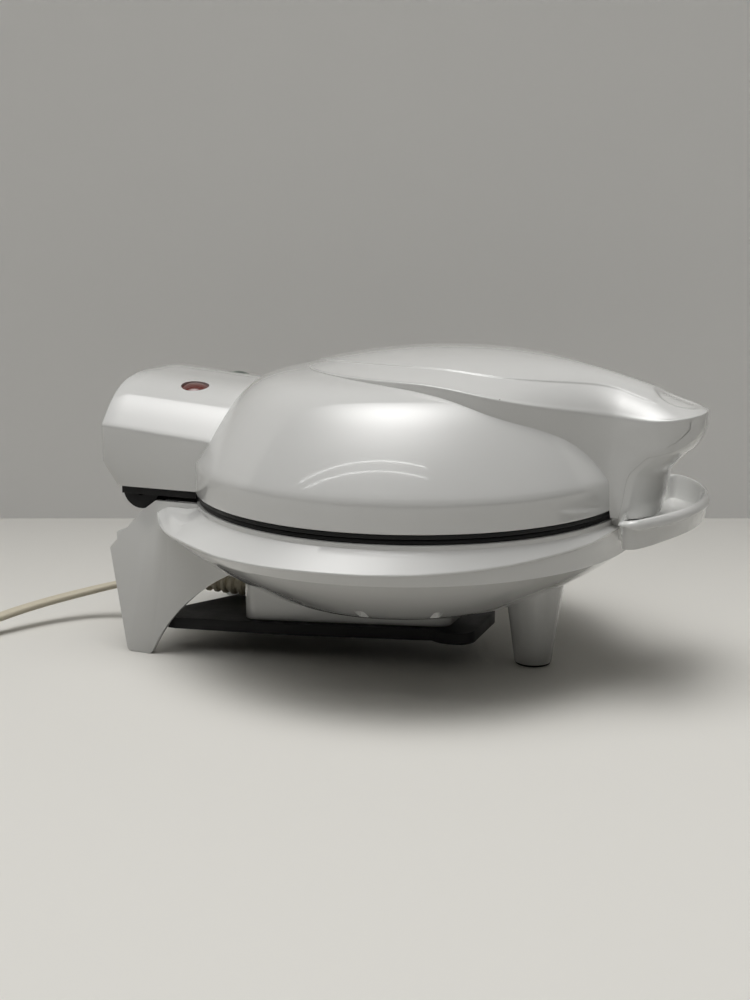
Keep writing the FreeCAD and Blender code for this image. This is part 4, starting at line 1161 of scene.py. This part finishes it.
def gripLoop(inset, height):
    # Plan of the lower handle moved in by inset; height gives z from x
    g = grip
    centre = np.array((g["tip"] - g["radius"], 0.0))
    root = np.array(g["root"])
    along = np.array(g["shoulder"]) - root
    along /= np.linalg.norm(along)
    inward = np.array((along[1], -along[0]))
    corner = max(g["corner"], inset + g["leastCorner"])
    ball = flankMeets(root + inward * corner, along, centre, g["radius"] - corner)
    outwards = (ball - centre) / np.linalg.norm(ball - centre)
    rootY = root[1] - inset
    bend = root + inward * inset
    bend = bend + along * ((rootY - bend[1]) / along[1])
    left = corner - inset
    start = math.atan2(-inward[1], -inward[0])
    end = math.atan2(outwards[1], outwards[0])
    arc = [ball + left * np.array((math.cos(a), math.sin(a))) for a in np.linspace(start, end, 15)]
    fan = math.atan2(arc[-1][1], arc[-1][0] - centre[0])
    tip = [centre + (g["radius"] - inset) * np.array((math.cos(a), math.sin(a)))
           for a in np.linspace(fan, 0, 40)[1:]]
    flank = [bend + (arc[0] - bend) * s for s in np.linspace(0, 1, 9)[:-1]]
    first = [np.array((x, rootY)) for x in g["rootRun"]]
    half = first + flank + arc + tip
    plan = half + [np.array((p[0], -p[1])) for p in reversed(half[:-1])]
    return [(p[0], p[1], height(p[0])) for p in plan]


def flankMeets(start, along, centre, radius):
    # Where a line from start meets the tip's circle
    offset = start - centre
    b = offset @ along
    return start + along * (-b + math.sqrt(b * b - offset @ offset + radius * radius))


def makeGrip():
    g = grip
    lines = {name: smoothLine(g[name], 200) for name in ("top", "seam", "under")}

    def level(name, x):
        return float(np.interp(x, lines[name][:, 0], lines[name][:, 1]))

    loops = [gripLoop(inset, lambda x: level("under", x) + up) for inset, up in g["belly"]]
    loops += [gripLoop(inset, lambda x: level("seam", x) + up) for inset, up in g["groove"]]
    rimLow = g["groove"][-1][1]
    for a in np.radians(g["rimAngles"]):
        loops.append(gripLoop(g["rim"] * (1 - math.cos(a)), lambda x: level("seam", x) + rimLow + math.sin(a)
                              * max(level("top", x) - level("seam", x) - rimLow, g["leastRim"])))
    wallIn, wallUp = g["dish"][0]
    for share in g["dishShares"]:
        fall = smoothStep(share)
        loops.append(gripLoop(g["rim"] + (wallIn - g["rim"]) * share, lambda x: level("top", x)
                              + (level("under", x) + wallUp - level("top", x)) * fall))
    loops += [gripLoop(inset, lambda x: level("under", x) + up) for inset, up in g["dish"]]
    paddle = newPiece("grip", *loftLoops(loops))
    inside = newPiece("inside", *ringStack([(0, r, z) for r, z in g["bodyRoom"]], 160))
    back, front, half, low, high = g["neckRoom"]
    outline = ((back, low), (front, low), (front, high), (back, high))
    notch = newPiece("notch", *sideSlab(outline, -half, half))
    return carve(paddle, "DIFFERENCE", inside, notch)


baseBox = {
    "outline": ((-62.0, 76.3), (-107.0, 76.3), (-121.5, 64.5), (-128.9, 60.5), (-133.4, 58.6), (-133.4, 50.0),
                (-62.0, 50.0)),
    "half": 51.45,
    "edge": 0.7,
}


def ventSlots():
    v = vents
    half, side = v["length"] / 2, v["width"] / 2
    plan = roundCorners(((-half, -side), (half, -side), (half, side), (-half, side)), v["corner"], 5)
    shape = newPiece("slot", *loftLoops([[(x, y, z) for x, y in plan] for z in v["z"]]), local=True)
    return runTree("vents", trees["round"], {
        "Shape": shape, "Count": v["count"], "Radius": v["radius"] * mm, "Phase": v["phase"] / v["count"],
        "Middle": ((baseRound["bowlX"] + plateAxis) * mm, 0.0, 0.0), "Material": finishes["white_plastic"]})


def makeBase():
    shell = baseBody()
    box = newPiece("baseBox", *sideSlab(baseBox["outline"], -baseBox["half"], baseBox["half"]))
    roundEdges(box, baseBox["edge"], 20.0)
    carve(shell, "UNION", box, makeGrip(), rearWedge(-1), rearWedge(1))
    carve(shell, "DIFFERENCE", newPiece("baseHollow", *ringStack(baseRound["inner"], 128)), ventSlots())
    place(shell, "white_plastic", "base", "base_shell", sharp=20.0)


# Donut plates: ring moulds sunk in one face, with a boss behind each

plates = {
    "count": 6,
    "pitch": 62.0,
    "outer": 26.0,
    "post": 9.0,
    "depth": 9.0,
    "skin": 4.0,
    "boss": (28.5, 26.5, 11.5),  # radius at the plate and at the back, depth
    "seat": 2.15,
    "lower": (79.55, 102.0, 99.5),  # face z, seat radius, disc radius
    "upper": (79.85, 103.0, 100.5),
    "eased": 0.5,
    "bossEased": 0.8,
    "bossSunk": 2.0,
    "mouldLip": ((0.5, 1.0), (0.4, 0.0), (0.1, -0.2)),  # out and up from a mould's edge
    "mouldEnd": 0.07,  # angle left out at both ends of its bend
}


def ringShape(name, section, up):
    rings = [(0.0, r, up * z) for r, z in section]
    return newPiece(name, *ringStack(rings, 72), local=True)


def spread(name, section, up, faceZ):
    # The same turned shape round the plate and once in its middle
    made = []
    for count, radius in ((plates["count"], plates["pitch"]), (1, 0.0)):
        made.append(runTree(name, trees["round"], {
            "Shape": ringShape(name, section, up), "Count": count, "Radius": radius * mm, "Phase": 0.0,
            "Middle": (plateAxis * mm, 0.0, faceZ * mm), "Material": finishes["nonstick_black"]}))
    return made


def makePlate(name, half, up, node, body):
    p = plates
    faceZ, seatRadius, discRadius = p[half]
    e, seat, skin = p["eased"], p["seat"], p["skin"]
    disc = [(0, 0), (seatRadius - e, 0), (seatRadius - 0.3 * e, -0.3 * e), (seatRadius, -e),
            (seatRadius, e - seat), (seatRadius - e, -seat), (discRadius, -seat), (discRadius, e - skin),
            (discRadius - e, -skin), (0, -skin)]
    plate = newPiece(name, *ringStack([(0.0, r, faceZ + up * z) for r, z in disc], 192))
    near, far, deep = p["boss"]
    ease, sunk = p["bossEased"], p["bossSunk"]
    boss = [(0, -sunk), (near, -sunk), (near, -skin), (far, ease - deep), (far - ease, -deep), (0, -deep)]
    middle, reach = (p["outer"] + p["post"]) / 2, (p["outer"] - p["post"]) / 2
    turn = np.linspace(p["mouldEnd"], math.pi - p["mouldEnd"], 26)
    mould = [(p["outer"] + out, z) for out, z in p["mouldLip"]]
    mould += [(middle + reach * math.cos(a), -p["depth"] * math.sin(a)) for a in turn]
    mould += [(p["post"] - out, z) for out, z in reversed(p["mouldLip"])]
    mould.append(mould[0])
    carve(plate, "UNION", *spread("boss", boss, up, faceZ))
    carve(plate, "DIFFERENCE", *spread("mould", mould, up, faceZ))
    place(plate, "nonstick_black", body, node, sharp=40.0)


# Boot with ribs that grow smaller towards its tip

boot = {
    "x": -74.5,
    "y": -3.0,
    "z": 23.5,
    "length": 40.0,
    "core": (4.3, 3.0),
    "collar": ((-0.05, 5.3), (-0.4, 5.6), (-1.7, 5.6), (-2.2, 5.2)),  # along and radius
    "flange": (4.4, 2.6, 2.5),  # its end, its start and the neck's end
    "neck": (3.6, 4.4),
    "rib": (5.6, 2.5),  # radius and width
    "ribShape": ((-0.5, 0.80), (-0.46, 0.93), (-0.3, 1.0), (0.3, 1.0), (0.46, 0.93), (0.5, 0.80)),
    "count": 8,
    "firstRib": 1.25,  # in steps from the collar
    "sizes": (0.98, 0.79),  # of the first and the last rib
}


def turnedLoops(section):
    # Section of x and radius, turned about the X axis
    return loftLoops([[(x, r * math.cos(a), r * math.sin(a)) for a in roundAngles(40)] for x, r in section])


def makeBoot():
    b = boot
    pitch = b["length"] / (b["count"] + 0.5)
    root, tip = b["core"]
    neck, flange = b["neck"]
    end, start, inner = b["flange"]
    section = [(end, flange), (start, flange), (inner, neck), (0.0, neck), *b["collar"],
               (-2.4, root), (-b["length"] + 1.0, tip + 0.2), (-b["length"], tip)]
    core = newPiece("boot", *turnedLoops([(b["x"] + x, r) for x, r in section]))
    core.data.transform(Matrix.Translation((0, b["y"] * mm, b["z"] * mm)))
    radius, width = b["rib"]
    rib = newPiece("rib", *turnedLoops([(x * width, r * radius) for x, r in b["ribShape"]]), local=True)
    first = inFrame([(b["x"] - b["firstRib"] * pitch, b["y"], b["z"])])[0]
    ribs = runTree("ribs", trees["line"], {
        "Shape": rib, "Count": b["count"], "First": tuple(first), "Step": (-pitch * mm, 0.0, 0.0),
        "First Size": b["sizes"][0], "Last Size": b["sizes"][1], "Material": finishes["ivory_vinyl"]})
    carve(core, "UNION", ribs)
    place(core, "ivory_vinyl", "base", "strain_relief", sharp=50.0)


# Plug: a soft loft from the cord to the face with the blades

plug = {
    "sections": ((0.0, 5.0, 3.4), (2.0, 5.6, 3.9), (5.0, 8.6, 5.2), (8.0, 10.2, 6.2), (20.0, 10.4, 6.5),
                 (25.6, 10.2, 6.4), (26.7, 9.8, 6.1), (27.0, 9.2, 5.6)),  # along, half width, half height
    "grips": (9.0, 19.0, 2.5, 0.45),  # from, to, pitch and depth
    "power": 3.6,
}


def makePlug(end, out):
    p = plug
    start, stop, pitch, depth = p["grips"]
    along, halfWide, halfHigh = np.array(p["sections"]).T
    stations = set(np.linspace(0, along[-1], 37)) | set(np.linspace(start, stop, 41)) | set(along[-3:-1])
    loops = []
    for x in sorted(stations):
        wide, high = np.interp(x, along, halfWide), np.interp(x, along, halfHigh)
        if start < x < stop:
            wide -= depth * (1 - math.cos(2 * math.pi * (x - start) / pitch)) / 2
        loop = []
        for a in roundAngles(48):
            y, z = (np.sign(c) * abs(c) ** (2 / p["power"]) for c in (math.cos(a), math.sin(a)))
            loop.append((x, wide * y, high * z))
        loops.append(loop)
    body = newPiece("plugBody", *loftLoops(loops), local=True)
    spot = inFrame([end])[0]
    body.data.transform(Matrix.Translation(spot) @ Matrix.Rotation(math.atan2(out[1], out[0]), 4, "Z"))
    return place(body, "ivory_vinyl", "base", "plug_body", sharp=50.0)


# Plain moulded and pressed pieces keep their construction shape, with softened edges

softPieces = (  # piece, node, finish, body, edge radius, corner angle
    ("nearLeg", "rear_leg_near", "white_plastic", "base", 0.5, 30.0),
    ("farLeg", "rear_leg_far", "white_plastic", "base", 0.5, 30.0),
    ("frontFoot", "front_foot", "white_plastic", "base", 0.6, 40.0),
    ("wiringBox", "wiring_box", "white_plastic", "base", 0.4, 40.0),
    ("wrapPlate", "cord_wrap_plate", "black_plastic", "base", 1.8, 50.0),
    ("hingeBracket", "lid_hinge_bracket", "black_plastic", "lid", 0.4, 40.0),
    ("hingeEars", "hinge_ears", "black_plastic", "base", 0.4, 40.0),
    ("cordTie", "cord_tie", "tie_black", "base", 0.25, 40.0),
)


flatAngle = 0.6  # degrees up to which neighbouring triangles are one face


def softCopy(name, node, finish, body, width, angle):
    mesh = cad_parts[node].data.copy()
    if "custom_normal" in mesh.attributes:
        mesh.attributes.remove(mesh.attributes["custom_normal"])
    form = bmesh.new()
    form.from_mesh(mesh)
    bmesh.ops.remove_doubles(form, verts=form.verts, dist=weldGap)
    bmesh.ops.dissolve_limit(form, angle_limit=math.radians(flatAngle), verts=form.verts, edges=form.edges)
    form.to_mesh(mesh)
    form.free()
    piece = bpy.data.objects.new(name, mesh)
    scene.collection.objects.link(piece)
    roundEdges(piece, width, angle)
    return place(piece, finish, body, node, sharp=36.0)


setCamera()
setRoom()
finishes = makeFinishes()
dressNodes(finishes)
trees = {"round": roundTree(), "line": lineTree()}
makeLid()
makeBase()
makePlate("lowerPlate", "lower", 1, "lower_plate", "base")
makePlate("upperPlate", "upper", -1, "upper_plate", "lid")
makeBoot()
soft = {row[0]: softCopy(*row) for row in softPieces}
cord, cordPath, cordOut, cordEnd = makeCord()
plugPiece = makePlug(cordEnd, cordOut)
declareCord()
